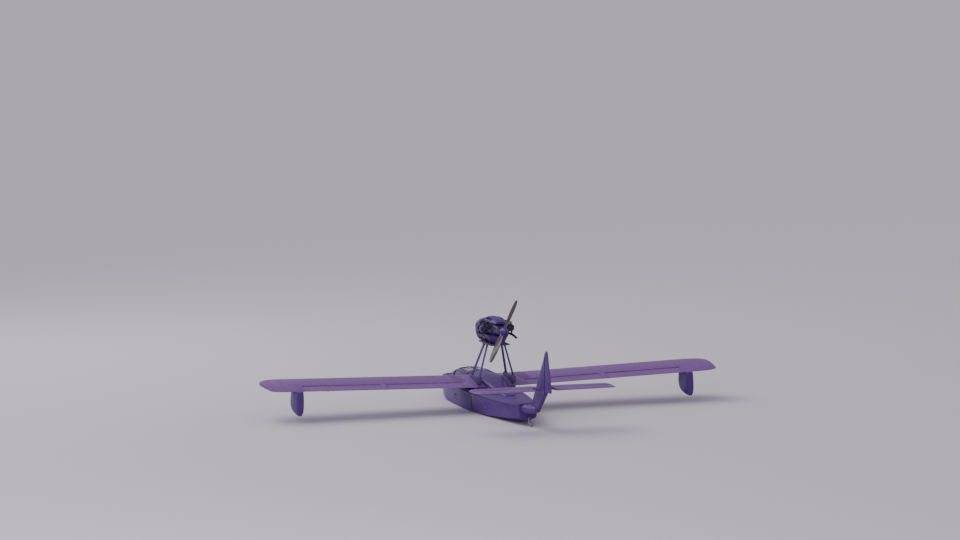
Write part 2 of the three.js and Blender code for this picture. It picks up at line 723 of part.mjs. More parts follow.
function nacelleTop() {
  // x, half width, top z
  const table = [
    [-128 - SEAT_GAP, 205, 2203],
    [-320, 205, 2205],
    [-500, 196, 2195],
    [-660, 172, 2171],
    [-800, 130, 2135],
  ];
  const base = ENGINE.topZ + SEAT_GAP;
  return loft(
    faired(table, 1).map(([x, halfY, topZ]) => twoSided(x, cowlSide(0, halfY, base, base, topZ).above, topZ)),
  );
}
function engineCase() {
  const { frontX, backX, underZ, topZ, halfY: caseY, shaftZ } = ENGINE;
  // x, half width, bottom z, top z
  const table = [
    [frontX, caseY, underZ, topZ],
    [-640, caseY, underZ, topZ],
    [backX, 96, 1855, 2025],
  ];
  const body = loft(
    table.map(([x, halfY, lowZ, highZ]) =>
      twoSided(x, [[halfY * 0.8, lowZ], [halfY, lowZ + 40], [halfY, highZ - 40], [halfY * 0.8, highZ]]),
    ),
  );
  const startX = backX + 20;
  const reach = PROP.x + PROP.hubHalf + BEARING_GAP - startX;
  const profile = [[0, 0], [46, 0], [46, -120], [68, -120], [68, reach], [0, reach]];
  return join(body, turned(profile, 16, "x", [startX, 0, shaftZ]));
}
const CYLINDER = {
  xs: [-270, -500],
  z: 1955,
  baseY: ENGINE.halfY + SEAT_GAP,
  length: 178,
  barrelR: 62,
  finR: 88,
  fins: 6,
  headZ: [1887, 2025],
};
function cylinderBank() {
  const { xs, z, baseY, length, barrelR, finR, fins, headZ } = CYLINDER;
  const pitch = (length - 20) / fins;
  const profile = [[0, 0], [barrelR, 0]];
  for (let i = 0; i < fins; i++) {
    const at = 16 + i * pitch;
    profile.push([barrelR, at], [finR, at], [finR, at + pitch * 0.42], [barrelR, at + pitch * 0.42]);
  }
  profile.push([barrelR, length], [0, length]);
  const endY = baseY + length;
  const barrels = xs.map((x) => turned(profile, 14, "y", [x, baseY, z]));
  const heads = xs.map((x) => box([x - 74, x + 74], [endY - 4, endY + 66], headZ));
  const link = box([xs[1], xs[0]], [endY + 4, endY + 40], [headZ[1] - 20, headZ[1] - 2]);
  return join(...barrels, ...heads, link);
}
function exhaust() {
  const { xs, baseY, length, headZ } = CYLINDER;
  const y = baseY + length + 30;
  const stubs = xs.map((x) => rod(21, 1793, headZ[0] - SEAT_GAP, 10, "z", [x, y, 0]));
  const route = [[xs[0] + 30, y, 1797], [xs[1], y, 1795], [-660, y + 4, 1781], [-800, y + 14, 1747]];
  return join(...stubs, tube(route, 26, 10));
}

// A blade's section from its leading edge: parts of the chord and of the thickness.
const BLADE_SECTION = [
  [0.5, 0],
  [0.2, 0.5],
  [-0.2, 0.42],
  [-0.5, 0.08],
  [-0.5, -0.08],
  [-0.2, -0.3],
  [0.2, -0.3],
];
function propeller() {
  const { radius, hubR, hubHalf, turn } = PROP;
  const hub = rod(hubR, -hubHalf, hubHalf, 20, "x", [0, 0, 0]);
  // radius, distance behind the hub's back face
  const cone = [[0, -2], [hubR + 24, -2], [hubR + 20, 40], [hubR - 12, 110], [22, 164], [0, 170]];
  const spinner = turned(cone.map(([r, behind]) => [r, -hubHalf - behind]), 20, "x", [0, 0, 0]);
  // distance out, chord, thickness, pitch angle in degrees
  const stations = [
    [40, 84, 56, 52],
    [150, 112, 34, 44],
    [320, 132, 22, 32],
    [520, 124, 15, 23],
    [700, 96, 10, 18],
    [radius, 44, 6, 16],
  ];
  const blade = loft(
    stations.map(([out, chord, thick, degrees]) => {
      const angle = THREE.MathUtils.degToRad(degrees);
      return BLADE_SECTION.map(([c, t]) => {
        const across = c * chord;
        const through = t * thick;
        return [
          -(across * Math.sin(angle) + through * Math.cos(angle)),
          across * Math.cos(angle) - through * Math.sin(angle),
          out,
        ];
      });
    }),
  );
  const whole = join(hub, spinner, blade, blade.rotate([180, 0, 0]));
  return whole.rotate([THREE.MathUtils.radToDeg(turn), 0, 0]);
}

// A post on the deck beside each ear of the canopy, with a pin that faces the ear.
function hingePost() {
  const { x, z, radius, earY } = HINGE;
  const inner = earY[1] + RUN_GAP;
  const y = [inner, inner + 30];
  const post = box([x - 12, x + 12], y, [DECK_Z - 30, z]);
  const head = rod(radius, y[0], y[1], 12, "y", [x, 0, z]);
  const pin = rod(6, earY[1] + BEARING_GAP, y[0] + 1, 10, "y", [x, 0, z]);
  return join(post, head, pin);
}

// Materials
function paint(colour, roughness, metalness = 0) {
  return () => new THREE.MeshStandardMaterial({ color: colour, roughness, metalness });
}
const hullPaint = paint(0x5c4f86, 0.35);
const wingPaint = paint(0x6b5c92, 0.4);
const cowlPaint = paint(0x4a3f72, 0.35);
const metal = paint(0x8d8b98, 0.35, 0.9);
const darkMetal = paint(0x3b3652, 0.5, 0.7);
const rubber = paint(0x26243a, 0.8);
const fabric = paint(0x57507a, 0.9);
const wood = paint(0x5a4660, 0.45);
const glass = paint(0x9aa0c8, 0.05);

const group = new THREE.Group();
function add(name, shape, material, parent = group) {
  const mesh = new THREE.Mesh(geometryOf(shape), material());
  mesh.name = name;
  parent.add(mesh);
  return mesh;
}

add("hull_forward", join(hullForward, hingePost(), mirrored(hingePost())), hullPaint);
add("hull_aft", join(hullAft, waterRudderBracket()), hullPaint);
add("keel_strip", keelStrip(), metal);
add("mooring_cleat", mooringCleat(), metal);
add("wing_center", wingCentre(), wingPaint);
add("dorsal_fairing", dorsalFairing(), hullPaint);
add("cabin_bulkhead", cabinBulkhead(), hullPaint);
add("cabin_floor", cabinFloor(), wood);
add("seat_bench", seatBench(), wood);
add("instrument_panel", instrumentPanel(), darkMetal);
add("rudder_pedals", rudderPedals(), darkMetal);
add("canopy_frame", canopyFrame(), hullPaint);
add("fin", finForm(), wingPaint);
add("rudder", rudderForm(), wingPaint);
add("elevator", elevator(), wingPaint);
add("water_rudder", waterRudder(), metal);
add("engine_bed", engineBed(), darkMetal);
add("nacelle_belly", nacelleBelly(), cowlPaint);
add("nacelle_nose", nacelleNose(), cowlPaint);
add("nacelle_top", nacelleTop(), cowlPaint);
add("engine_case", engineCase(), darkMetal);
const spinning = new THREE.Group();
spinning.position.set(PROP.x, 0, ENGINE.shaftZ);
group.add(spinning);
add("propeller", propeller(), wood, spinning);

// What both sides have: built to port, and mirrored to starboard.
for (const [side, sign] of [["left", 1], ["right", -1]]) {
  const half = new THREE.Group();
  half.scale.y = sign;
  group.add(half);
  add("spray_rail_" + side, sprayRail(), metal, half);
  add("seat_cushion_" + side, seatCushion(), fabric, half);
  add("seat_back_" + side, seatBack(), fabric, half);
  add("control_stick_" + side, controlStick(), rubber, half).position.y = SEAT.y;
  ["side_window_", "windscreen_", "roof_window_"].forEach((name, i) => {
    add(name + side, pane(OPENINGS[i]), glass, half);
  });
  add("tailplane_" + side, tailplaneHalf(), wingPaint, half);
  add("pylon_rail_" + side, pylonRail(), darkMetal, half);
  add("pylon_front_leg_" + side, pylonLeg(110, -180), hullPaint, half);
  add("pylon_rear_leg_" + side, pylonLeg(-450, -420), hullPaint, half);
  add("cylinders_" + side, cylinderBank(), darkMetal, half);
  add("exhaust_" + side, exhaust(), darkMetal, half);
  const panel = new THREE.Group();
  panel.position.set(0, WING.centreY + SEAT_GAP, WING.underZ);
  panel.rotation.x = WING.dihedral;
  half.add(panel);
  add("wing_" + side, wingPanel(), wingPaint, panel);
  add("aileron_" + side, controlSurface(CONTROL.aileron, RUN_GAP), wingPaint, panel);
  add("flap_" + side, controlSurface(CONTROL.flap, RUN_GAP), wingPaint, panel);
  add("float_" + side, tipFloat(), hullPaint, panel);
}

export default group;
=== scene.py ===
# Looks for the small flying boat: everything is in metres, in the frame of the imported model.
# +X is forward, +Y is port, +Z is up, and the floor is the water's surface at z = 0.
import json
import math

import bpy
from mathutils import Matrix, Vector
from mathutils.bvhtree import BVHTree

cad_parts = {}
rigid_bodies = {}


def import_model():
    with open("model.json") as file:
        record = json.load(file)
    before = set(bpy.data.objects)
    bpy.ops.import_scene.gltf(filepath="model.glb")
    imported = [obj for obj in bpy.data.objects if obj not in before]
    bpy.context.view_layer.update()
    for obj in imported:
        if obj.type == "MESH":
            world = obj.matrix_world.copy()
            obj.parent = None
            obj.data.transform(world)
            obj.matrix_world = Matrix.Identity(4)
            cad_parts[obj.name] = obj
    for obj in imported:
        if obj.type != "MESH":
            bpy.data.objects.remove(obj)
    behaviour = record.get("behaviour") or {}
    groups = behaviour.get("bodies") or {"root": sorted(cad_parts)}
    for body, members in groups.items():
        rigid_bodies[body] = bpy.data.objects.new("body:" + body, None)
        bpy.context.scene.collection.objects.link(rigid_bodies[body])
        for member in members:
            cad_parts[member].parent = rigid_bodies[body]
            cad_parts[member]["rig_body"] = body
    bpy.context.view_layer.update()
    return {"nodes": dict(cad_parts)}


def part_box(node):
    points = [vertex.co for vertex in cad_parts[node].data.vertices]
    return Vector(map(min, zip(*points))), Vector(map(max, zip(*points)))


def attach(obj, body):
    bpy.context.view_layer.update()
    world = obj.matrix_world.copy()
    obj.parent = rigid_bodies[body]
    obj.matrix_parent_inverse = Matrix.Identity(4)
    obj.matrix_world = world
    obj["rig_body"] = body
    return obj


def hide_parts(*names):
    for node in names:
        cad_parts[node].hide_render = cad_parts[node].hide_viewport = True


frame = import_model()
nodes = frame["nodes"]
sides = {"Left": 1, "Right": -1}
acrossCentre = Matrix.Scale(-1, 4, (0, 1, 0))
down = (0, 0, -1)


# Small tools for modelling

def startClean():
    if bpy.context.object and bpy.context.object.mode != "OBJECT":
        leaveEdit()
    bpy.ops.object.select_all(action="DESELECT")


def leaveEdit():
    bpy.ops.object.mode_set(mode="OBJECT")


def activate(piece):
    startClean()
    piece.select_set(True)
    bpy.context.view_layer.objects.active = piece


def settle(piece):  # the place goes into the mesh
    activate(piece)
    bpy.ops.object.transform_apply(location=True, rotation=True, scale=True)
    return piece


def putAt(piece, place):
    piece.matrix_world = place
    return settle(piece)


def remove(piece):
    bpy.data.objects.remove(piece)


def editAll(piece):  # edit mode with everything selected
    activate(piece)
    bpy.ops.object.mode_set(mode="EDIT")
    bpy.ops.mesh.select_all(action="SELECT")


def selectNone(piece, kind):  # object mode with nothing in the mesh selected
    activate(piece)
    bpy.ops.object.mode_set(mode="EDIT")
    bpy.ops.mesh.select_mode(type=kind)
    bpy.ops.mesh.select_all(action="DESELECT")
    leaveEdit()


def pickFaces(piece, wanted):  # edit mode with the faces that pass wanted(centre, normal)
    selectNone(piece, "FACE")
    for face in piece.data.polygons:
        face.select = bool(wanted(face.center, face.normal))
    bpy.ops.object.mode_set(mode="EDIT")


def pickEdges(piece, wanted):  # edit mode with the edges that pass wanted(ends, middle)
    selectNone(piece, "EDGE")
    points = piece.data.vertices
    for edge in piece.data.edges:
        a, b = (points[i].co for i in edge.vertices)
        edge.select = bool(wanted(set(edge.vertices), (a + b) / 2))
    bpy.ops.object.mode_set(mode="EDIT")


def insetFaces(piece, axis, *steps):  # insets (thickness, depth) of the faces that look along an axis
    pickFaces(piece, lambda centre, normal: normal[axis] > 0.99)
    for thickness, depth in steps:
        bpy.ops.mesh.inset(thickness=thickness, depth=depth)
    leaveEdit()
    return piece


def modify(piece, kind, **settings):  # one modifier, applied at once
    modifier = piece.modifiers.new(kind.lower(), kind)
    for key, value in settings.items():
        setattr(modifier, key, value)
    activate(piece)
    bpy.ops.object.modifier_apply(modifier=modifier.name)
    return piece


def smooth(piece, angle=32):
    activate(piece)
    bpy.ops.object.shade_smooth_by_angle(angle=math.radians(angle))
    return piece


def roundEdges(piece, width, segments=2, angle=30):
    limit = {"limit_method": "ANGLE", "angle_limit": math.radians(angle), "use_clamp_overlap": True}
    return smooth(modify(piece, "BEVEL", width=width, segments=segments, **limit))


def outward(piece):  # closed shapes only
    editAll(piece)
    bpy.ops.mesh.remove_doubles(threshold=0.00002)
    bpy.ops.mesh.normals_make_consistent(inside=False)
    leaveEdit()
    return piece


def towards(way):  # the turn that takes Z along a way
    return Vector(way).to_track_quat("Z", "Y")


def block(corner, opposite, edge=0.002, segments=2):
    startClean()
    middle = [(a + b) / 2 for a, b in zip(corner, opposite)]
    size = [abs(b - a) for a, b in zip(corner, opposite)]
    bpy.ops.mesh.primitive_cube_add(size=1, location=middle, scale=size)
    piece = settle(bpy.context.object)
    return roundEdges(piece, edge, segments) if edge else piece


def drum(start, end, radius, edge=0.0, around=24, endRadius=None):
    startClean()
    start, end = Vector(start), Vector(end)
    bpy.ops.mesh.primitive_cone_add(
        vertices=around,
        radius1=radius,
        radius2=radius if endRadius is None else endRadius,
        depth=(end - start).length,
        location=(start + end) / 2,
        rotation=towards(end - start).to_euler(),
    )
    piece = settle(bpy.context.object)
    return roundEdges(piece, edge) if edge else smooth(piece)


def ball(centre, radius, squeeze=(1, 1, 1), around=20):
    startClean()
    bpy.ops.mesh.primitive_uv_sphere_add(
        segments=around, ring_count=around // 2, radius=radius, location=centre, scale=squeeze
    )
    return smooth(settle(bpy.context.object), 60)


def hoop(centre, axis, radius, thick, steps=32, around=10):
    startClean()
    bpy.ops.mesh.primitive_torus_add(
        major_radius=radius,
        minor_radius=thick,
        major_segments=steps,
        minor_segments=around,
        location=centre,
        rotation=towards(axis).to_euler(),
    )
    return smooth(settle(bpy.context.object), 60)


def pipe(points, radius, closed=False, fine=3, soft=True):
    startClean()
    bpy.ops.curve.primitive_bezier_curve_add()
    curve = bpy.context.object
    curve.location = (0, 0, 0)
    spline = curve.data.splines[0]
    spline.bezier_points.add(len(points) - 2)
    for knot, point in zip(spline.bezier_points, points):
        knot.co = point
        knot.handle_left_type = knot.handle_right_type = "AUTO" if soft else "VECTOR"
    spline.use_cyclic_u = closed
    spline.resolution_u = 6 if soft else 1
    curve.data.bevel_depth = radius
    curve.data.bevel_resolution = fine
    curve.data.use_fill_caps = not closed
    activate(curve)
    bpy.ops.object.convert(target="MESH")
    return smooth(outward(settle(bpy.context.object)), 50)


def hollowPipe(points, radius, wall, fine=4):  # open at both ends
    piece = pipe(points, radius, fine=fine)
    first, second, *_, beforeLast, last = (Vector(point) for point in points)
    ends = ((first, (first - second).normalized()), (last, (last - beforeLast).normalized()))
    pickFaces(piece, lambda centre, normal: any(
        (centre - end).length < radius and normal.dot(way) > 0.9 for end, way in ends
    ))
    bpy.ops.mesh.delete(type="FACE")
    leaveEdit()
    return smooth(modify(piece, "SOLIDIFY", thickness=wall, offset=-1), 50)


def circleOf(points, fill="NOTHING"):  # a circle whose vertices go to the points
    startClean()
    bpy.ops.mesh.primitive_circle_add(vertices=len(points), radius=1, fill_type=fill)
    for vertex, point in zip(bpy.context.object.data.vertices, points):
        vertex.co = point
    return bpy.context.object


def spun(profile, centre, axis, steps=32, angle=45):
    # profile: (radius, distance along the axis), turned all the way round
    turn = towards(axis).to_matrix()
    piece = circleOf([Vector(centre) + turn @ Vector((radius, 0, along)) for radius, along in profile])
    pickEdges(piece, lambda ends, middle: ends == {0, len(profile) - 1})
    bpy.ops.mesh.delete(type="EDGE")
    leaveEdit()
    editAll(settle(piece))
    bpy.ops.mesh.spin(steps=steps, angle=math.tau, center=centre, axis=Vector(axis).normalized())
    leaveEdit()
    return smooth(outward(piece), angle)


def ringSkin(rings, angle=50):  # a closed form drawn out ring by ring, then subdivided
    count = len(rings[0])
    piece = circleOf(rings[0], "NGON")
    for ring in rings[1:]:
        selectNone(piece, "FACE")
        next(face for face in reversed(piece.data.polygons) if len(face.vertices) == count).select = True
        bpy.ops.object.mode_set(mode="EDIT")
        bpy.ops.mesh.extrude_region_move(TRANSFORM_OT_translate={"value": (0, 0, 0)})
        leaveEdit()
        cap = next(face for face in piece.data.polygons if face.select and len(face.vertices) == count)
        start = min(range(count), key=lambda i: cap.vertices[i])
        order = [cap.vertices[(start + i) % count] for i in range(count)]
        if order[1] > order[-1]:
            order = [order[0]] + order[:0:-1]
        for index, point in zip(order, ring):
            piece.data.vertices[index].co = point
    modify(settle(piece), "SUBSURF", levels=1, render_levels=1)
    return smooth(outward(piece), angle)


def twin(piece, name, place=None):  # a copy with its own mesh, moved by a matrix
    copy = bpy.data.objects.new(name, piece.data.copy())
    bpy.context.scene.collection.objects.link(copy)
    if place is not None:
        putAt(copy, place)
        if place.determinant() < 0:
            outward(copy)
    return copy


def weld(name, pieces, sign=1):  # one object from several, mirrored for the starboard side
    startClean()
    for piece in pieces:
        piece.select_set(True)
    bpy.context.view_layer.objects.active = pieces[0]
    if len(pieces) > 1:
        bpy.ops.object.join()
    whole = bpy.context.object
    whole.name = whole.data.name = name
    if sign > 0:
        return whole
    mirrored = twin(whole, name, acrossCentre)
    remove(whole)
    return mirrored


def standOn(point, normal):  # a matrix: Z leaves the surface, and X runs along it, forwards
    up = Vector(normal).normalized()
    side = up.cross(Vector((1, 0, 0))).normalized()
    turn = Matrix((side.cross(up), side, up)).transposed().to_4x4()
    return Matrix.Translation(Vector(point)) @ turn


def scatter(model, places):  # copies of a small model at (point, normal) places
    copies = [twin(model, "copy", standOn(point, normal)) for point, normal in places]
    remove(model)
    return copies


def hexHead(radius, height):  # a bolt head on a washer, standing on the origin
    washer = drum((0, 0, 0), (0, 0, height * 0.25), radius * 1.35, around=16)
    head = drum((0, 0, height * 0.2), (0, 0, height), radius, radius * 0.12, 6)
    return weld("hexHead", [head, washer])


def roundHead(radius, height):  # a low screw head with a slot
    head = drum((0, 0, 0), (0, 0, height), radius, around=12, endRadius=radius * 0.7)
    return smooth(insetFaces(head, 2, (radius * 0.3, -height * 0.35)))


def circle(count, shift=0.0):  # (cosine, sine) at even steps all the way round
    ways = [math.tau * (i + shift) / count for i in range(count)]
    return [(math.cos(way), math.sin(way)) for way in ways]


def evenly(first, pitch, count):  # numbers at an even pitch
    return [first + pitch * i for i in range(count)]


skins = {}


def placesOn(node, rays):  # (point, normal) for each ray, (start, direction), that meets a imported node
    if node not in skins:
        mesh = nodes[node].data
        corners = [vertex.co for vertex in mesh.vertices]
        skins[node] = BVHTree.FromPolygons(corners, [tuple(face.vertices) for face in mesh.polygons])
    met = [skins[node].ray_cast(Vector(start), Vector(way).normalized()) for start, way in rays]
    return [(point, normal) for point, normal, face, far in met if point is not None]


def onSurface(node, start, way):
    return placesOn(node, [(start, way)])[0]


def skinOf(node, name, edge=0.0, segments=2, bevelAngle=28, smoothAngle=34):
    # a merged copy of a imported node, ready to be worked on
    piece = twin(nodes[node], name)
    activate(piece)
    bpy.ops.mesh.customdata_custom_splitnormals_clear()
    editAll(piece)
    bpy.ops.mesh.remove_doubles(threshold=0.00005)
    bpy.ops.mesh.dissolve_limited(angle_limit=math.radians(0.6))
    leaveEdit()
    piece.data.materials.clear()
    if edge:
        roundEdges(piece, edge, segments, bevelAngle)
    return smooth(piece, smoothAngle)


def patchOf(node, name, cuts, facing, thick):
    # a thin skin over part of a node: cuts are planes (point, normal) that keep what is behind them
    piece = skinOf(node, name)
    for point, normal in cuts:
        editAll(piece)
        bpy.ops.mesh.bisect(plane_co=point, plane_no=normal, clear_outer=True, clear_inner=False)
        leaveEdit()
    way = Vector(facing).normalized()
    pickFaces(piece, lambda centre, normal: normal.dot(way) < 0.35)
    bpy.ops.mesh.delete(type="FACE")
    leaveEdit()
    return smooth(modify(piece, "SOLIDIFY", thickness=thick, offset=1))


# Finishes: small tools for nodes, which work in the tree of the sockets that they are given

def feed(socket, value):  # a link, a colour or a number
    if isinstance(value, bpy.types.NodeSocket):
        socket.id_data.links.new(value, socket)
    else:
        socket.default_value = (*value, 1) if socket.type == "RGBA" else value


def addNode(kind, inputs, **settings):
    tree = next(value.id_data for value in inputs.values() if isinstance(value, bpy.types.NodeSocket))
    made = tree.nodes.new(kind)
    for key, value in settings.items():
        setattr(made, key, value)
    for key, value in inputs.items():
        feed(made.inputs[key], value)
    return made.outputs


def maths(operation, a, b=0.0, clamp=False):
    return addNode("ShaderNodeMath", {0: a, 1: b}, operation=operation, use_clamp=clamp)[0]


def times(a, b):
    return maths("MULTIPLY", a, b)


def within(value, step):  # how far a value is from the nearest whole number of steps
    return maths("PINGPONG", value, step)


def apart(a, b):  # the length of a slanting line from its two sides
    return maths("SQRT", maths("ADD", maths("POWER", a, 2.0), maths("POWER", b, 2.0)))


def ramp(value, fromLow, fromHigh, toLow=0.0, toHigh=1.0):
    keys = {"Value": value, "From Min": fromLow, "From Max": fromHigh, "To Min": toLow, "To Max": toHigh}
    return addNode("ShaderNodeMapRange", keys, interpolation_type="SMOOTHSTEP")["Result"]


def noise(place, scale, detail):
    return addNode("ShaderNodeTexNoise", {"Vector": place, "Scale": scale, "Detail": detail})[0]


def axes(place):
    return addNode("ShaderNodeSeparateXYZ", {0: place})


def darker(colour, share):
    return [c * share for c in colour]


def coated(colour, *coats):  # each coat is a mask, how much of it shows, and its colour
    for mask, share, coat in coats:
        amount = mask if share == 1 else times(mask, share)
        colour = addNode("ShaderNodeMix", {0: amount, 6: colour, 7: coat}, data_type="RGBA")[2]
    return colour


def summed(total, *parts, clamp=False):  # each part is a mask and its share
    for part, (mask, share) in enumerate(parts, 1):
        total = maths("ADD", total, times(mask, share), clamp and part == len(parts))
    return total


def newGroup(name, inputs, outputs):
    tree = bpy.data.node_groups.new(name, "ShaderNodeTree")
    for label, value in inputs.items():
        kind = "NodeSocketVector" if isinstance(value, tuple) else "NodeSocketFloat"
        tree.interface.new_socket(name=label, in_out="INPUT", socket_type=kind).default_value = value
    for label in outputs:
        tree.interface.new_socket(name=label, in_out="OUTPUT", socket_type="NodeSocketFloat")
    return tree, tree.nodes.new("NodeGroupInput").outputs, tree.nodes.new("NodeGroupOutput").inputs


def makeGrime():  # broad patches, fine specks and long streaks of dirt and salt
    group, put, out = newGroup("grime", {"Vector": (0, 0, 0), "Size": 1.2}, ("Patches", "Specks", "Streaks"))
    pulled = addNode("ShaderNodeMapping", {"Vector": put[0], "Scale": (0.7, 9.0, 9.0)})[0]
    feed(out[0], ramp(noise(put[0], put[1], 5.0), 0.36, 0.68))
    feed(out[1], ramp(noise(put[0], 55.0, 3.0), 0.56, 0.74))
    feed(out[2], ramp(noise(pulled, 1.6, 4.0), 0.42, 0.72))
    return group


def makeSeams():  # lap joints across a skin at even stations, each with rows of rivets beside it
    sizes = {"Vector": (0, 0, 0), "Station": 0.6, "Strake": 0.28, "Pitch": 0.035, "Head": 0.0045}
    group, put, out = newGroup("seams", sizes, ("Line", "Rivets", "Sheet"))
    place = axes(put[0])
    girth = maths("ADD", maths("ABSOLUTE", place[1]), place[2])
    halfStation, halfStrake, halfPitch = (times(put[i], 0.5) for i in (1, 2, 3))
    fromStation = within(place[0], halfStation)
    fromStrake = within(girth, halfStrake)
    feed(out[0], ramp(maths("MINIMUM", fromStation, fromStrake), 0.0008, 0.003, 1.0, 0.0))

    def row(fromLine, along):
        far = apart(maths("SUBTRACT", fromLine, 0.014), within(along, halfPitch))
        return ramp(maths("DIVIDE", far, put[4]), 0.55, 1.0, 1.0, 0.0)

    feed(out[1], maths("MAXIMUM", row(fromStation, girth), row(fromStrake, place[0])))
    sheet = addNode("ShaderNodeCombineXYZ", {
        0: maths("FLOOR", maths("DIVIDE", place[0], put[1])),
        1: maths("FLOOR", maths("DIVIDE", girth, put[2])),
    })
    feed(out[2], addNode("ShaderNodeTexWhiteNoise", {"Vector": sheet[0]})["Value"])
    return group


def makeRibs():  # fabric over ribs: a tape on each rib, and a slight hollow between ribs
    sizes = {"Along": 0.0, "Across": 0.0, "Spacing": 0.3, "Tape": 0.019}
    group, put, out = newGroup("ribs", sizes, ("Tapes", "Hollow", "Stitches"))
    half = times(put[2], 0.5)
    fromRib = within(put[0], half)
    feed(out[0], ramp(maths("SUBTRACT", fromRib, put[3]), -0.0012, 0.0012, 1.0, 0.0))
    feed(out[1], maths("SUBTRACT", 1.0, ramp(maths("DIVIDE", fromRib, half), 0.0, 1.0)))
    feed(out[2], ramp(apart(fromRib, within(put[1], 0.03)), 0.003, 0.006, 1.0, 0.0))
    return group


def makeWeave():  # over and under threads, with a slub here and there
    group, put, out = newGroup("weave", {"Vector": (0, 0, 0), "Thread": 0.0022}, ("Height", "Shade"))
    place = axes(put[0])
    warp = maths("ADD", place[0], times(place[2], 0.8))
    first, second = (maths("SINE", maths("DIVIDE", times(run, math.pi), put[1])) for run in (warp, place[1]))
    feed(out[0], maths("ADD", times(times(first, second), 0.5), 0.5))
    feed(out[1], ramp(noise(put[0], 26.0, 4.0), 0.3, 0.72))
    return group


def makeGrain():  # long fibres, with thin glued layers across them
    sizes = {"Vector": (0, 0, 0), "Stretch": (1.0, 12.0, 12.0), "Layer": 0.0, "Sheet": 0.018}
    group, put, out = newGroup("grain", sizes, ("Fibre", "Bands", "Joint"))
    pulled = addNode("ShaderNodeMapping", {"Vector": put[0], "Scale": put[1]})[0]
    feed(out[0], ramp(noise(pulled, 9.0, 6.0), 0.32, 0.7))
    index = maths("FLOOR", maths("DIVIDE", put[2], put[3]))
    feed(out[1], addNode("ShaderNodeTexWhiteNoise", {"W": index}, noise_dimensions="1D")["Value"])
    feed(out[2], ramp(within(put[2], times(put[3], 0.5)), 0.0002, 0.0012, 1.0, 0.0))
    return group


grime, seams, ribs, weave, grain = makeGrime(), makeSeams(), makeRibs(), makeWeave(), makeGrain()


def newMaterial(name, **shader):
    material = bpy.data.materials.new(name)
    material.use_nodes = True
    body = material.node_tree.nodes["Principled BSDF"].inputs
    for key, value in {"Metallic": 0.0, "Roughness": 0.4, **shader}.items():
        body[key.replace("_", " ")].default_value = value
    return material, body, material.node_tree.nodes.new("ShaderNodeTexCoord").outputs["Object"]


def useGroup(group, **inputs):
    tree = next(value.id_data for value in inputs.values() if isinstance(value, bpy.types.NodeSocket))
    made = tree.nodes.new("ShaderNodeGroup")
    made.node_tree = group
    for key, value in inputs.items():
        feed(made.inputs[key], value)
    return made.outputs


def surface(body, colour, rough, relief=None, depth=0.0):
    feed(body["Base Color"], colour)
    feed(body["Roughness"], rough)
    if relief is not None:
        bump = addNode("ShaderNodeBump", {"Height": relief, "Distance": depth, "Strength": 1.0})
        feed(body["Normal"], bump[0])


paints = {
    "hullPaint": {"colour": (0.070, 0.022, 0.185), "pale": (0.100, 0.036, 0.240), "rough": 0.38},
    "wingPaint": {"colour": (0.175, 0.070, 0.285), "pale": (0.225, 0.100, 0.340), "rough": 0.42},
    "finPaint": {"colour": (0.064, 0.018, 0.172), "pale": (0.084, 0.027, 0.210), "rough": 0.40},
    "cowlPaint": {"colour": (0.058, 0.018, 0.175), "pale": (0.082, 0.030, 0.215), "rough": 0.38},
}
glossyCoat = {"Coat_Weight": 0.08, "Coat_Roughness": 0.15, "Specular_IOR_Level": 0.32}
fabricCoat = {"Coat_Weight": 0.10, "Coat_Roughness": 0.2, "Specular_IOR_Level": 0.35}
saltColour, dopeDust, soot = (0.24, 0.20, 0.32), (0.26, 0.22, 0.34), (0.02, 0.018, 0.026)


def sheetMetalPaint(name, station, strake, saltUpTo):
    material, body, place = newMaterial(name, **glossyCoat)
    plain, pale, rough = paints[name].values()
    dirt = useGroup(grime, Vector=place, Size=1.1)
    joint = useGroup(seams, Vector=place, Station=station, Strake=strake)
    colour = coated(plain, (joint["Sheet"], 0.35, pale), (dirt["Patches"], 0.4, pale),
                    (joint["Line"], 0.85, darker(plain, 0.45)), (dirt["Streaks"], 0.35, darker(plain, 0.45)))
    salt = ramp(maths("ADD", axes(place)[2], times(dirt["Patches"], 0.08)), 0.0, saltUpTo, 1.0, 0.0)
    crust = maths("MULTIPLY", salt, maths("ADD", dirt["Specks"], 0.35), True)
    gloss = summed(rough, (dirt["Patches"], 0.14), (crust, 0.3), clamp=True)
    relief = summed(maths("SUBTRACT", joint["Rivets"], times(joint["Line"], 1.2)), (dirt["Patches"], 0.8))
    surface(body, coated(colour, (crust, 0.16, saltColour)), gloss, relief, 0.0012)
    return material


def plainPaint(name):  # for slender and spun pieces, which have no lap joints
    material, body, place = newMaterial(name, **glossyCoat)
    plain, pale, rough = paints[name.removesuffix("Plain")].values()
    dirt = useGroup(grime, Vector=place, Size=2.2)
    colour = coated(plain, (dirt["Patches"], 0.5, pale), (dirt["Specks"], 0.25, darker(plain, 0.5)))
    surface(body, colour, summed(rough, (dirt["Patches"], 0.16), clamp=True), dirt["Patches"], 0.0006)
    return material


def fabricPaint(name, tall):  # the ribs lie along y, or one over the other where the surface is tall
    material, body, place = newMaterial(name, **fabricCoat)
    plain, pale, rough = paints[name].values()
    across, side, height = axes(place)
    along = height if tall else maths("ABSOLUTE", side)
    ribbing = useGroup(ribs, Along=along, Across=across, Spacing=0.3)
    dirt = useGroup(grime, Vector=place, Size=0.9)
    colour = coated(plain, (dirt["Patches"], 0.45, pale), (ribbing["Tapes"], 0.22, pale),
                    (dirt["Streaks"], 0.3, darker(plain, 0.55)), (dirt["Specks"], 0.10, dopeDust))
    relief = summed(times(ribbing["Hollow"], 2.6), (ribbing["Tapes"], 0.5), (ribbing["Stitches"], 0.5))
    surface(body, colour, summed(rough, (dirt["Patches"], 0.16), clamp=True), relief, 0.0016)
    return material


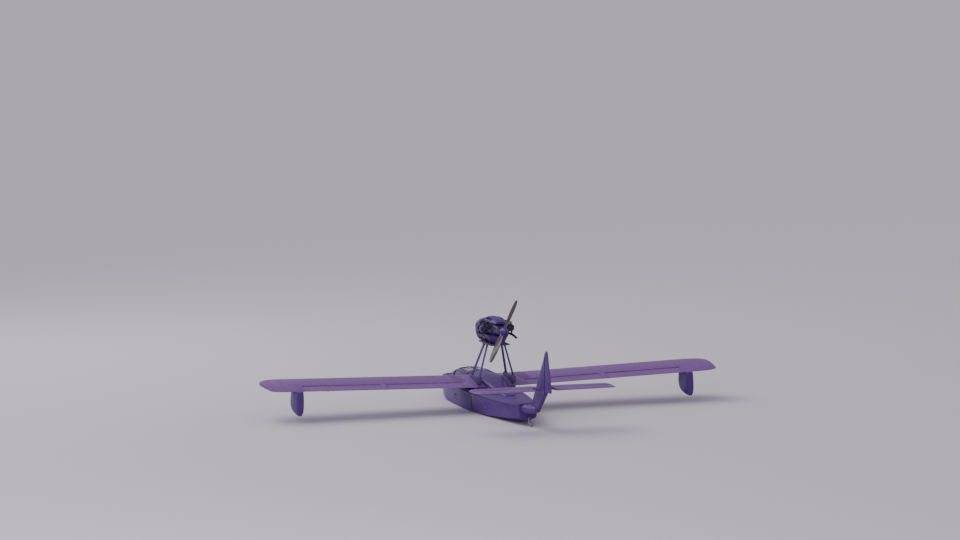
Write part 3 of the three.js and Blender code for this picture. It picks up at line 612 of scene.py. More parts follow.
def metalFinish(name, colour, worn, rough, metallic, size=3.0):
    material, body, place = newMaterial(name, Metallic=metallic)
    dirt = useGroup(grime, Vector=place, Size=size)
    mixed = coated(colour, (dirt["Patches"], 0.8, worn), (dirt["Specks"], 0.4, darker(colour, 0.5)))
    gloss = summed(rough, (dirt["Patches"], 0.18), (dirt["Specks"], 0.15), clamp=True)
    surface(body, mixed, gloss, maths("ADD", dirt["Patches"], dirt["Specks"]), 0.0004)
    return material


def castFinish(name, colour, burnt):  # rough castings, browned by heat
    material, body, place = newMaterial(name, Metallic=0.75)
    dirt = useGroup(grime, Vector=place, Size=5.0)
    mixed = coated(colour, (dirt["Patches"], 1, burnt), (dirt["Streaks"], 0.5, soot))
    surface(body, mixed, ramp(dirt["Patches"], 0.0, 1.0, 0.42, 0.62), noise(place, 260.0, 2.0), 0.0007)
    return material


def rubberFinish(name, colour):
    material, body, place = newMaterial(name)
    dirt = useGroup(grime, Vector=place, Size=9.0)
    pebble = addNode("ShaderNodeTexVoronoi", {"Vector": place, "Scale": 420.0})["Distance"]
    mixed = coated(colour, (dirt["Patches"], 0.5, darker(colour, 2.2)))
    surface(body, mixed, ramp(dirt["Patches"], 0.0, 1.0, 0.62, 0.82), pebble, 0.0005)
    return material


def clothFinish(name, colour, pale, thread):
    material, body, place = newMaterial(name, Sheen_Weight=0.35, Sheen_Roughness=0.4)
    cloth = useGroup(weave, Vector=place, Thread=thread)
    dirt = useGroup(grime, Vector=place, Size=4.0)
    mixed = coated(colour, (cloth["Shade"], 1, pale), (cloth["Height"], 0.4, darker(colour, 0.45)),
                   (dirt["Patches"], 0.3, darker(colour, 0.6)))
    surface(body, mixed, ramp(cloth["Height"], 0.0, 1.0, 0.95, 0.75), cloth["Height"], 0.0008)
    return material


def woodFinish(name, colour, pale, stretch, layerAxis, sheet, coat):
    material, body, place = newMaterial(name, Coat_Weight=coat, Coat_Roughness=0.08)
    timber = useGroup(grain, Vector=place, Stretch=stretch, Layer=axes(place)[layerAxis], Sheet=sheet)
    mixed = coated(colour, (timber["Bands"], 1, pale), (timber["Fibre"], 0.5, darker(colour, 0.5)),
                   (timber["Joint"], 0.7, darker(colour, 0.3)))
    surface(body, mixed, ramp(timber["Fibre"], 0.0, 1.0, 0.26, 0.42), timber["Fibre"], 0.0003)
    return material


def glassFinish(name, colour):
    material, body, place = newMaterial(name, Roughness=0.03, IOR=1.49, Transmission_Weight=1.0)
    dirt = useGroup(grime, Vector=place, Size=2.5)
    mixed = coated(colour, (dirt["Patches"], 1, darker(colour, 0.9)))
    surface(body, mixed, ramp(dirt["Specks"], 0.0, 1.0, 0.02, 0.22))
    return material


def lampFinish(name, colour):
    material, body, place = newMaterial(name, Roughness=0.08, Coat_Weight=0.6, Emission_Strength=0.15)
    flute = addNode("ShaderNodeTexWave", {"Vector": place, "Scale": 90.0})[1]
    tone = coated(colour, (flute, 1, darker(colour, 0.6)))
    feed(body["Base Color"], tone)
    feed(body["Emission Color"], tone)
    return material


finishList = [  # name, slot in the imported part, maker and its settings
    ("hullPaint", "hull_paint", sheetMetalPaint, 0.62, 0.31, 0.26),
    ("wingPaint", "wing_paint", fabricPaint, False),
    ("finPaint", "hull_paint", fabricPaint, True),
    ("cowlPaint", "cowl_paint", sheetMetalPaint, 0.34, 9.0, 0.01),
    ("hullPaintPlain", "hull_paint", plainPaint),
    ("cowlPaintPlain", "cowl_paint", plainPaint),
    ("panelPaint", "panel_paint", rubberFinish, (0.030, 0.027, 0.042)),
    ("bareMetal", "bare_metal", metalFinish, (0.34, 0.32, 0.38), (0.22, 0.20, 0.27), 0.30, 0.9),
    ("darkMetal", "dark_metal", metalFinish, (0.082, 0.056, 0.165), (0.115, 0.082, 0.215), 0.38, 0.4),
    ("heatedSteel", "dark_metal", metalFinish, (0.060, 0.046, 0.060), (0.088, 0.058, 0.060), 0.42, 0.7, 6.0),
    ("engineMetal", "engine_metal", castFinish, (0.175, 0.135, 0.290), (0.120, 0.085, 0.165)),
    ("blackRubber", "black_rubber", rubberFinish, (0.030, 0.027, 0.042)),
    ("seatCloth", "seat_fabric", clothFinish, (0.105, 0.085, 0.165), (0.155, 0.130, 0.225), 0.0024),
    ("beltWeb", "seat_fabric", clothFinish, (0.040, 0.034, 0.060), (0.062, 0.054, 0.090), 0.0016),
    ("bladeWood", "varnished_wood", woodFinish, (0.085, 0.044, 0.062), (0.125, 0.068, 0.085),
     (14.0, 14.0, 1.2), 0, 0.012, 0.6),
    ("cabinWood", "varnished_wood", woodFinish, (0.12, 0.068, 0.078), (0.15, 0.088, 0.092),
     (1.0, 12.0, 12.0), 1, 0.11, 0.3),
    ("windowGlass", "window_glass", glassFinish, (0.80, 0.78, 0.90)),
    ("gritPaint", "wing_paint", rubberFinish, (0.110, 0.052, 0.175)),
    ("markPaint", "panel_paint", rubberFinish, (0.50, 0.48, 0.55)),
    ("redLamp", "window_glass", lampFinish, (0.55, 0.02, 0.03)),
    ("greenLamp", "window_glass", lampFinish, (0.02, 0.42, 0.14)),
    ("whiteLamp", "window_glass", lampFinish, (0.75, 0.74, 0.80)),
]
finishes = {name: (maker(name, *settings), slotName) for name, slotName, maker, *settings in finishList}


def dress(piece, finish, body="airframe", *replaced):
    material, slotName = finishes[finish]
    piece.data.materials.clear()
    piece.data.materials.append(material)
    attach(piece, body)
    if replaced:
        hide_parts(*replaced)
    return piece


def assemble(name, pieces, finish, body="airframe", *replaced, sign=1):  # one finished piece from several
    return dress(weld(name, pieces, sign), finish, body, *replaced)


print("finishes are ready")

# Camera, floor and light
cameraPlace = {
    "stand": (-84.848, 27.339, 13.064),
    "forward": (0.94276, -0.30377, -0.1376),
    "up": (0.12883, -0.04884, 0.99046),
    "frame": 960,  # pixels across
    "focal": 3870.0,  # in the same pixels
    "offCentre": (10.5, 110.0),  # how far right and down the boat stands in it
    "sensor": 36,
    "sight": 1500,
}


def placeCamera():
    look = cameraPlace
    forward, up = Vector(look["forward"]), Vector(look["up"])
    across, below = look["offCentre"]
    aim = (forward * look["focal"] - forward.cross(up) * across + up * below).normalized()
    right = aim.cross(up).normalized()
    turn = Matrix((right, right.cross(aim), -aim)).transposed()
    bpy.ops.object.camera_add(location=look["stand"], rotation=turn.to_euler())
    camera = bpy.context.object
    camera.data.sensor_width = look["sensor"]
    camera.data.lens = look["sensor"] * look["focal"] / look["frame"]
    camera.data.clip_end = look["sight"]
    bpy.context.scene.camera = camera


studio = {
    "floor": (0.72, 0.68, 0.74),
    "sky": (0.80, 0.76, 0.86),
    "skyPower": 0.56,
    "reach": 900.0,
    "cabinX": (0.75, 1.00, 1.25, 1.50, 1.75, 2.00, 2.20),  # where the floor's inner edge meets the hull
    "cabinEnds": (0.705, 2.275),
    "cabinMiddle": 1.45,
    "intoWall": 0.012,
    "sun": {"from": (4, 9, 14), "power": 1.05, "spread": 50},
    "lampSize": 14,
    "lampAim": (-0.5, 0, 0.8),
    "lamps": [((16, 10, 16), 1500), ((-26, 16, 9), 1900)],  # place, watts
}


def innerWaterline():  # inside the hull's shell, so the floor doesn't show in the cabin
    walls = [onSurface("hull_forward", (x, 0, 0.004), (0, 1, 0))[0].y for x in studio["cabinX"]]
    port = [(x, wall + studio["intoWall"], 0) for x, wall in zip(studio["cabinX"], walls)]
    aft, fore = studio["cabinEnds"]
    run = [(aft, port[0][1], 0), *port, (fore, port[-1][1] * 0.6, 0)]
    return [Vector(p) for p in run] + [Vector((x, -y, z)) for x, y, z in reversed(run)]


def buildFloor():
    inner = innerWaterline()
    floor = circleOf(inner)
    floor.name = "floor"
    editAll(floor)
    bpy.ops.mesh.extrude_region_move(TRANSFORM_OT_translate={"value": (0, 0, 0)})
    leaveEdit()
    for vertex, point in zip(floor.data.vertices[len(inner):], inner):
        vertex.co = (point - Vector((studio["cabinMiddle"], 0, 0))).normalized() * studio["reach"]
    editAll(floor)
    bpy.ops.mesh.normals_make_consistent(inside=False)
    leaveEdit()
    if floor.data.polygons[0].normal.z < 0:
        floor.data.flip_normals()
    material, body, place = newMaterial("floorPaper", Roughness=0.6)
    fleck = (noise(place, 3.0, 3.0), 1, darker(studio["floor"], 0.985))
    feed(body["Base Color"], coated(studio["floor"], fleck))
    floor.data.materials.append(material)


def buildLights():
    world = bpy.context.scene.world or bpy.data.worlds.new("studio")
    bpy.context.scene.world = world
    world.use_nodes = True
    backdrop = world.node_tree.nodes["Background"].inputs
    feed(backdrop["Color"], studio["sky"])
    feed(backdrop["Strength"], studio["skyPower"])
    sun = studio["sun"]
    bpy.ops.object.light_add(type="SUN", location=sun["from"], rotation=towards(sun["from"]).to_euler())
    bpy.context.object.data.energy = sun["power"]
    bpy.context.object.data.angle = math.radians(sun["spread"])
    for place, watts in studio["lamps"]:
        turn = (Vector(studio["lampAim"]) - Vector(place)).to_track_quat("-Z", "Y").to_euler()
        bpy.ops.object.light_add(type="AREA", location=place, rotation=turn)
        bpy.context.object.data.size = studio["lampSize"]
        bpy.context.object.data.energy = watts


placeCamera()
buildFloor()
buildLights()
print("camera and studio are ready")

# Main forms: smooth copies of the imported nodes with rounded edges, where * stands for left and right
forms = [  # finish, edge radius, bevel angle, smooth angle, nodes
    ("hullPaint", 0.008, 24, 40, "hull_forward hull_aft"),
    ("hullPaint", 0.0, 0, 50, "dorsal_fairing"),
    ("hullPaint", 0.004, 28, 34, "cabin_bulkhead"),
    ("hullPaintPlain", 0.010, 20, 40, "float_*"),
    ("hullPaintPlain", 0.003, 28, 40, "canopy_frame"),
    ("hullPaintPlain", 0.0, 0, 50, "pylon_front_leg_* pylon_rear_leg_*"),
    ("bareMetal", 0.003, 28, 34, "keel_strip"),
    ("bareMetal", 0.002, 28, 34, "spray_rail_*"),
    ("bareMetal", 0.006, 28, 34, "mooring_cleat"),
    ("bareMetal", 0.002, 28, 40, "water_rudder"),
    ("wingPaint", 0.0, 0, 40, "wing_center"),
    ("wingPaint", 0.004, 40, 40, "wing_*"),
    ("wingPaint", 0.0, 0, 45, "aileron_* flap_*"),
    ("wingPaint", 0.004, 40, 45, "tailplane_*"),
    ("wingPaint", 0.003, 40, 45, "elevator"),
    ("finPaint", 0.004, 40, 45, "fin"),
    ("finPaint", 0.003, 40, 45, "rudder"),
    ("cowlPaint", 0.016, 14, 60, "nacelle_belly"),
    ("cowlPaint", 0.016, 12, 60, "nacelle_top"),
    ("cabinWood", 0.003, 28, 34, "cabin_floor"),
    ("cabinWood", 0.006, 28, 34, "seat_bench"),
    ("panelPaint", 0.004, 28, 34, "instrument_panel"),
    ("darkMetal", 0.003, 28, 34, "rudder_pedals"),
    ("darkMetal", 0.003, 28, 50, "control_stick_*"),
    ("darkMetal", 0.006, 28, 34, "pylon_rail_* engine_bed"),
    ("windowGlass", 0.0, 0, 30, "windscreen_* side_window_* roof_window_*"),
]
renamed = {
    "hull_forward": "forebody",
    "hull_aft": "afterbody",
    "wing_center": "wing_centre",
    "pylon_front": "front",
    "pylon_rear": "rear",
    "nacelle_belly": "belly_cowl",
    "nacelle_top": "top_cowl",
}
stem = {"from": 2.93, "setBack": 0.24}  # the stem stands back a little, to leave room for the rub rail


def pieceName(node):  # spray_rail_left becomes sprayRailLeft
    for old, new in renamed.items():
        node = node.replace(old, new)
    first, *others = node.split("_")
    return first + "".join(word.capitalize() for word in others)


def eased(x):
    return x - max(x - stem["from"], 0) * stem["setBack"]


for finish, edge, bevelAngle, smoothAngle, patterns in forms:
    for pattern in patterns.split():
        for node in dict.fromkeys(pattern.replace("*", side.lower()) for side in sides):
            skin = skinOf(node, pieceName(node), edge, 2, bevelAngle, smoothAngle)
            dress(skin, finish, nodes[node]["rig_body"], node)
for vertex in bpy.data.objects["forebody"].data.vertices:
    vertex.co.x = eased(vertex.co.x)
print("main forms are ready")

# The turning pieces: blades of glued layers, a metal hub plate and a spun spinner
propellerLook = {
    "centre": (-1.0, 0, 1.935),
    "turn": 25,
    "stations": [  # out, chord, thickness, pitch in degrees
        (0.030, 0.086, 0.062, 54),
        (0.075, 0.090, 0.054, 51),
        (0.150, 0.108, 0.036, 44),
        (0.235, 0.123, 0.028, 38),
        (0.320, 0.130, 0.022, 32),
        (0.420, 0.129, 0.018, 27),
        (0.520, 0.122, 0.015, 23),
        (0.620, 0.108, 0.012, 20),
        (0.700, 0.092, 0.010, 18),
        (0.755, 0.066, 0.008, 17),
        (0.778, 0.034, 0.005, 16),
    ],
    "tippedFrom": 4,  # the first station with metal on its leading edge
    "boltCircle": 0.048,
    "spinner": [  # radius, x
        (0.0, -1.212), (0.018, -1.2085), (0.036, -1.197), (0.052, -1.178), (0.066, -1.152), (0.080, -1.115),
        (0.091, -1.080), (0.097, -1.058), (0.0985, -1.047), (0.093, -1.0405), (0.0, -1.0405),
    ],
}


def bladeRing(out, chord, thick, degrees):
    angle = math.radians(degrees)
    ring = []
    for cosine, sine in circle(16):
        across = 0.5 * cosine * chord
        through = sine * (0.5 if sine > 0 else 0.3) * (1 - 0.25 * abs(cosine)) * thick
        x = -(across * math.sin(angle) + through * math.cos(angle))
        y = across * math.cos(angle) - through * math.sin(angle)
        ring.append(Vector((x, y, out)))
    return ring


def buildPropeller():
    look = propellerLook
    height = look["centre"][2]
    toCentre = Matrix.Translation(look["centre"])
    place = toCentre @ Matrix.Rotation(math.radians(look["turn"]), 4, "X")
    half = toCentre @ Matrix.Rotation(math.pi, 4, "X") @ toCentre.inverted()
    upper = ringSkin([[place @ point for point in bladeRing(*row)] for row in look["stations"]])
    core = drum((-1.040, 0, height), (-0.962, 0, height), 0.072, 0.004, 32)
    blades = [upper, twin(upper, "lower", half), core]
    assemble("propellerBlades", blades, "bladeWood", "propeller", "propeller")

    tipping = []
    for turn in (place, half @ place):
        edge = []
        for out, chord, thick, degrees in look["stations"][look["tippedFrom"]:]:
            angle, reach = math.radians(degrees), chord * 0.5 - 0.0035
            edge.append(turn @ Vector((-reach * math.sin(angle), reach * math.cos(angle), out - 0.004)))
        tipping.append(pipe(edge, 0.0048))
    assemble("bladeTipping", tipping, "bareMetal", "propeller")

    out = look["boltCircle"]
    places = [((-0.9655, out * cosine, height + out * sine), (1, 0, 0)) for cosine, sine in circle(6)]
    plate = drum((-0.9635, 0, height), (-0.9560, 0, height), 0.070, 0.002, 32)
    assemble("hubPlate", [plate, *scatter(hexHead(0.0075, 0.009), places)], "bareMetal", "propeller")

    shell = spun(look["spinner"], (0, 0, height), (1, 0, 0), 48)
    assemble("spinner", [shell], "cowlPaintPlain", "propeller")
    spokes = [Vector((0, cosine, sine)) for cosine, sine in circle(8, 0.5)]
    places = [(Vector((-1.054, 0, height)) + spoke * 0.0968, spoke) for spoke in spokes]
    assemble("spinnerScrews", scatter(roundHead(0.005, 0.0026), places), "bareMetal", "propeller")


buildPropeller()
print("propeller is ready")

# Engine: four finned cylinders on a split case, with routes given from each cylinder's middle
engineLook = {
    "cylinderX": (-0.270, -0.500),
    "baseY": 0.150,
    "height": 1.955,
    "barrel": 0.062,
    "fin": {"radius": 0.087, "thick": 0.0042, "from": 0.018, "pitch": 0.148 / 12, "count": 13},
    "headZ": (1.887, 2.025),
    "headY": (0.3245, 0.394),
    "duct": [(0.05, 0.120, 2.06), (0.045, 0.165, 2.091), (0.02, 0.250, 2.095), (0, 0.325, 2.075),
             (0, 0.352, 2.037), (0, 0.354, 2.019)],
    "lead": [(-0.040, 0.356, 2.059), (-0.040, 0.352, 2.087), (-0.050, 0.300, 2.105),
             (-0.055, 0.215, 2.097), (-0.055, 0.190, 2.089)],
    "harness": [(-0.20, 0.190, 2.088), (-0.35, 0.191, 2.089), (-0.55, 0.190, 2.088), (-0.62, 0.150, 2.067)],
    "stub": [(0, 0.3583, 1.8695), (0, 0.3583, 1.84), (-0.012, 0.3583, 1.81), (-0.03, 0.3583, 1.7975)],
    "stack": [(-0.225, 0.3583, 1.7975), (-0.36, 0.3583, 1.7965), (-0.5, 0.3583, 1.795),
              (-0.60, 0.3595, 1.789), (-0.69, 0.3635, 1.777), (-0.80, 0.3735, 1.747)],
}


def ahead(points, x, sign=1):  # a route moved forwards, and mirrored for starboard
    return [(x + dx, sign * y, z) for dx, y, z in points]


def finnedCylinder(x):
    look = engineLook
    y, z = look["baseY"], look["height"]
    lowY, highY = look["headY"]
    lowZ, highZ = look["headZ"]
    fins = look["fin"]
    fin = drum((x, 0, z), (x, fins["thick"], z), fins["radius"], 0.0012, 40)
    pieces = [drum((x, y + 0.0005, z), (x, y + 0.180, z), look["barrel"], around=32)]
    pieces.append(drum((x, y + 0.0005, z), (x, y + 0.012, z), 0.079, 0.002, 32))
    for at in evenly(y + fins["from"], fins["pitch"], fins["count"]):
        pieces.append(twin(fin, "copy", Matrix.Translation((0, at, 0))))
    remove(fin)
    pieces.append(block((x - 0.058, lowY, lowZ + 0.014), (x + 0.058, highY - 0.012, highZ - 0.014), 0.008, 3))
    for at in evenly(lowY + 0.004, 0.0098, 6):  # plates across the head
        low, high = (x - 0.073, at, lowZ + 0.001), (x + 0.073, at + 0.0042, highZ - 0.001)
        pieces.append(block(low, high, 0.0012, 1))
    for dx, dz in ((-0.050, -0.050), (-0.050, 0.050), (0.050, -0.050), (0.050, 0.050)):  # nuts at the base
        pieces.append(drum((x + dx, y + 0.012, z + dz), (x + dx, y + 0.020, z + dz), 0.008, 0.001, 6))
    return pieces


def buildCylinders(side, sign):
    look = engineLook
    bank, covers, rods, ducts, leads, plugs = [], [], [], [], [], []
    for x in look["cylinderX"]:
        bank += finnedCylinder(x)
        cover = block((x - 0.050, 0.383, 1.907), (x + 0.050, 0.412, 2.005), 0.010, 3)
        covers.append(insetFaces(cover, 1, (0.010, -0.003), (0.008, 0.004)))
        for dx in (-0.040, 0.040):
            for z in (1.917, 1.995):
                covers.append(drum((x + dx, 0.4085, z), (x + dx, 0.4155, z), 0.0052, 0.0008, 6))
        for dx in (-0.026, 0.026):
            rod = [(dx, 0.147, 1.857), (dx, 0.24, 1.873), (dx * 1.2, 0.340, 1.897)]
            rods.append(pipe(ahead(rod, x), 0.0085))
        ducts.append(pipe(ahead(look["duct"], x), 0.0185, fine=4))
        ducts.append(hoop((x, 0.3535, 2.033), (0, 0.1, 1), 0.0195, 0.003))
        plugs.append(drum((x - 0.040, 0.352, 2.021), (x - 0.040, 0.356, 2.061), 0.009, 0.001, 6))
        leads.append(pipe(ahead(look["lead"], x), 0.0052))
    leads.append(pipe(look["harness"], 0.009))
    assemble("cylinders" + side, bank, "engineMetal", "airframe", "cylinders_" + side.lower(), sign=sign)
    for name, pieces, finish in (
        ("rockerCovers", covers, "darkMetal"),
        ("pushRodTubes", rods, "bareMetal"),
        ("intakeDucts", ducts, "darkMetal"),
        ("sparkPlugs", plugs, "bareMetal"),
        ("ignitionLeads", leads, "blackRubber"),
    ):
        assemble(name + side, pieces, finish, sign=sign)


def buildExhaust(side, sign):
    look = engineLook
    y, z = look["stack"][0][1:]
    pieces = [hollowPipe(look["stack"], 0.0258, 0.0022)]
    pieces.append(drum((-0.2235, y, z), (-0.229, y, z), 0.0255, 0.001, 24))
    for x in look["cylinderX"]:
        pieces.append(pipe(ahead(look["stub"], x), 0.0205, fine=4))
        pieces.append(block((x - 0.038, 0.330, 1.8785), (x + 0.038, 0.387, 1.8862), 0.003))
        pieces.append(drum((x, y, 1.867), (x, y, 1.8795), 0.0235, 0.002))
        for dx in (-0.029, 0.029):
            pieces.append(drum((x + dx, y, 1.8715), (x + dx, y, 1.879), 0.007, 0.001, 6))
    pieces.append(hoop((-0.62, 0.3602, 1.7865), (1, 0, 0.1), 0.0262, 0.0030))
    assemble("exhaust" + side, pieces, "heatedSteel", "airframe", "exhaust_" + side.lower(), sign=sign)


for side, sign in sides.items():
    buildCylinders(side, sign)
    buildExhaust(side, sign)

caseLook = {
    "boltX": evenly(-0.17, -0.052, 9),
    "ribX": (-0.155, -0.385, -0.610),
    "magneto": (-0.606, 1.911),  # x and z of its middle
    "magnetoLead": [(-0.588, 0.262, 1.929), (-0.585, 0.280, 1.975), (-0.600, 0.235, 2.05),
                    (-0.612, 0.165, 2.073)],
}


def buildCase():
    dress(skinOf("engine_case", "engineCase", 0.010, 3, 24, 40), "engineMetal", "airframe", "engine_case")
    x, z = caseLook["magneto"]
    ribs, places = [], []
    for side, sign in sides.items():
        for ribX in caseLook["ribX"]:
            ribs.append(block((ribX - 0.006, sign * 0.149, 1.84), (ribX + 0.006, sign * 0.158, 2.06), 0.003))
        ribs.append(block((-0.636, sign * 0.148, 2.028), (-0.134, sign * 0.1565, 2.041)))
        places += [((boltX, sign * 0.1495, 1.847), (0, sign, 0)) for boltX in caseLook["boltX"]]
        places += [((boltX, sign * 0.156, 2.0345), (0, sign, 0)) for boltX in caseLook["boltX"]]
        # an ignition unit low on each side of the case's back
        towers = [
            drum((x + dx, sign * 0.246, z + dz), (x + dx, sign * 0.262, z + dz), 0.0055, around=12)
            for dx, dz in ((-0.018, -0.018), (-0.018, 0.018), (0.018, -0.018), (0.018, 0.018))
        ]
        unit = block((-0.640, sign * 0.146, 1.875), (-0.572, sign * 0.225, 1.947), 0.010, 3)
        cap = drum((x, sign * 0.223, z), (x, sign * 0.248, z), 0.030, 0.004, 28)
        assemble("magneto" + side, [unit, cap, *towers], "darkMetal")
        lead = pipe(ahead(caseLook["magnetoLead"], 0, sign), 0.006)
        assemble("magnetoLead" + side, [lead], "blackRubber")
    assemble("caseRibs", ribs, "engineMetal")
    for cosine, sine in circle(10):  # round the shaft's cover at the back
        places.append(((-0.8005, 0.0783 * cosine, 1.938 + 0.058 * sine), (-1, 0, 0)))
    assemble("caseBolts", scatter(hexHead(0.0075, 0.010), places), "bareMetal")
    assemble("shaftSeal", [hoop((-0.9, 0, 1.935), (1, 0, 0), 0.0545, 0.0085, 40)], "blackRubber")


buildCase()
print("engine is ready")

# Cowls, engine bed and pylon
noseLook = {
    "bulge": 0.85,
    "steps": 6,  # on each quarter of a ring
    "rows": [  # x, bottom half width, middle half width, bottom z, middle z, top z
        (-0.128, 0.150, 0.355, 1.6135, 1.935, 2.167),
        (-0.120, 0.150, 0.355, 1.6135, 1.935, 2.167),
        (-0.010, 0.148, 0.352, 1.6135, 1.935, 2.164),
        (0.060, 0.144, 0.343, 1.6135, 1.935, 2.157),
        (0.120, 0.140, 0.330, 1.6135, 1.935, 2.145),
        (0.190, 0.130, 0.308, 1.632, 1.932, 2.130),
        (0.250, 0.118, 0.280, 1.660, 1.929, 2.109),
        (0.300, 0.104, 0.250, 1.690, 1.925, 2.084),
        (0.340, 0.088, 0.211, 1.728, 1.921, 2.053),
        (0.368, 0.070, 0.172, 1.764, 1.918, 2.026),
        (0.386, 0.050, 0.128, 1.800, 1.915, 1.996),
        (0.3915, 0.034, 0.088, 1.835, 1.915, 1.968),
        (0.3918, 0.012, 0.030, 1.885, 1.915, 1.935),
    ],
    "inletY": (0.090, 0.215),
    "inletZ": (1.865, 1.970),
    "slant": ((0.377, 0.0925), (0.325, 0.2125)),  # the grille's x and y at its ends
    "vent": [(0.020, 0.380), (0.034, 0.384), (0.036, 0.391), (0.030, 0.3915), (0.020, 0.386), (0.020, 0.380)],
}
cowlLook = {
    "louvreX": evenly(-0.22, -0.062, 6),
    "screws": {  # z, x
        "nacelle_belly": (1.775, (-0.16, -0.29, -0.42, -0.55)),
        "nacelle_top": (2.097, (-0.15, -0.30, -0.45, -0.60, -0.74)),
    },
}


def noseRing(x, lowY, midY, lowZ, midZ, topZ):
    side = []
    count, bulge = noseLook["steps"], noseLook["bulge"]
    for i in range(count * 2 + 1):
        way = math.pi / 2 * (i / count - 1)
        out = max(math.cos(way), 0) ** bulge
        rise = abs(math.sin(way)) ** bulge
        if way < 0:
            side.append((lowY + (midY - lowY) * out, midZ - (midZ - lowZ) * rise))
        else:
            side.append((midY * out, midZ + (topZ - midZ) * rise))
    return [(x, y, z) for y, z in side] + [(x, -y, z) for y, z in reversed(side[:-1])]


def buildNose():
    nose = ringSkin([noseRing(*row) for row in noseLook["rows"]], 60)
    nose.name = "noseCowl"
    lowY, highY = noseLook["inletY"]
    lowZ, highZ = noseLook["inletZ"]
    for sign in sides.values():
        cutter = block((0.2505, sign * lowY, lowZ), (0.480, sign * highY, highZ), 0.016, 4)
        modify(nose, "BOOLEAN", operation="DIFFERENCE", solver="EXACT", object=cutter)
        remove(cutter)
    dress(smooth(roundEdges(nose, 0.0035, 2, 40), 42), "cowlPaint", "airframe", "nacelle_nose")


def buildCowlTrim():
    louvres, places = [], []
    for way in [math.pi * (i - 4) / 8.6 for i in range(9)]:  # round the nose cowl's back edge
        across, up = math.sin(way), math.cos(way)
        places.append(onSurface("nacelle_nose", (-0.100, across * 1.2, 1.935 + up * 1.2), (0, -across, -up)))
    for sign in sides.values():
        for x in cowlLook["louvreX"]:
            blade = block((-0.018, -0.036, -0.006), (0.018, 0.036, 0.011), 0.003)
            pickFaces(blade, lambda centre, facing: facing.x < -0.9)
            bpy.ops.mesh.inset(thickness=0.0025, depth=-0.010)
            leaveEdit()
            pickEdges(blade, lambda ends, middle: middle.x > 0.012 and middle.z > 0.004)
            bpy.ops.transform.translate(value=(0, 0, -0.009))
            leaveEdit()
            louvres.append(putAt(blade, standOn(*onSurface("nacelle_top", (x, sign * 0.150, 3), down))))
        for node, (z, row) in cowlLook["screws"].items():
            places += [onSurface(node, (x, sign * 1.0, z), (0, -sign, 0)) for x in row]
    assemble("topLouvres", louvres, "cowlPaint")
    assemble("cowlScrews", scatter(roundHead(0.0085, 0.0035), places), "bareMetal")

    wires, shadePlates = [], []
    lowZ, highZ = noseLook["inletZ"][0] + 0.003, noseLook["inletZ"][1] - 0.003
    (innerX, innerY), (outerX, outerY) = noseLook["slant"]
    for sign in sides.values():
        def onGrille(share, z):
            return (innerX + (outerX - innerX) * share, sign * (innerY + (outerY - innerY) * share), z)

        corners = [(0.07, lowZ), (0.93, lowZ), (1, lowZ + 0.008), (1, highZ - 0.008),
                   (0.93, highZ), (0.07, highZ), (0, highZ - 0.008), (0, lowZ + 0.008)]
        wires.append(pipe([onGrille(*corner) for corner in corners], 0.0034, closed=True, fine=2, soft=False))
        runs = [[(i / 10, z) for z in (lowZ, 1.917, highZ)] for i in range(1, 10)]
        runs += [[(share, lowZ + (highZ - lowZ) * i / 8) for share in (0, 0.5, 1)] for i in range(1, 8)]
        wires += [pipe([onGrille(*spot) for spot in run], 0.0014, fine=1) for run in runs]
        # painted shade: a thin black plate on the back wall of each inlet notch stands for the dark hollow
        # inside the cowl behind the grille
        shadePlates.append(block((0.2507, sign * 0.0925, 1.8675), (0.2560, sign * 0.2125, 1.9675), 0.0))
    assemble("inletGrilles", wires, "bareMetal")
    assemble("inletShadePlates", shadePlates, "blackRubber")
    assemble("noseVent", [spun(noseLook["vent"], (0, 0, 1.917), (1, 0, 0))], "darkMetal")


buildNose()
buildCowlTrim()

pylonLook = {
    "foot": (0.410, 0.822),  # y and z
    "top": (0.205, 1.575),
    "legs": {"front": (0.110, -0.180), "rear": (-0.450, -0.420)},  # x at the foot and at the top
    "railBolts": (-0.22, -0.04, 0.17, -0.36, -0.50),
    "plateBolts": [(dx, dy) for dx in (-0.066, 0.066) for dy in (-0.020, 0.020)],
    "mountX": (-0.50, -0.20),
    "mountArm": [(0, 0.170, 1.638), (0, 0.185, 1.675), (0, 0.170, 1.735), (0, 0.142, 1.823)],
}


def buildLegFittings(side, sign):
    footY, footZ = pylonLook["foot"]
    topY, topZ = pylonLook["top"]
    pieces, places = [], []
    for footX, topX in pylonLook["legs"].values():
        base, head = Vector((footX, sign * footY, footZ)), Vector((topX, sign * topY, topZ))
        way = (head - base).normalized()
        for end, reach, lowZ, highZ in ((base, 0.080, -0.002, 0.007), (head, 0.076, -0.009, 0.001)):
            low, high = Vector((-reach, -0.034, lowZ)), Vector((reach, 0.034, highZ))
            pieces.append(block(end + low, end + high, 0.003))
        for end, step in ((base, way), (head, -way)):
            pieces.append(drum(end + step * 0.002, end + step * 0.070, 0.030, 0.005, 28, 0.024))
        for dx, dy in pylonLook["plateBolts"]:
            places.append((base + Vector((dx, dy, 0.007)), (0, 0, 1)))
            places.append((head + Vector((dx, dy, 0.034)), (0, 0, 1)))
    places += [((x, sign * footY, footZ), (0, 0, 1)) for x in pylonLook["railBolts"]]
    assemble("legFittings" + side, pieces, "darkMetal")
    assemble("pylonBolts" + side, scatter(hexHead(0.011, 0.014), places), "bareMetal")


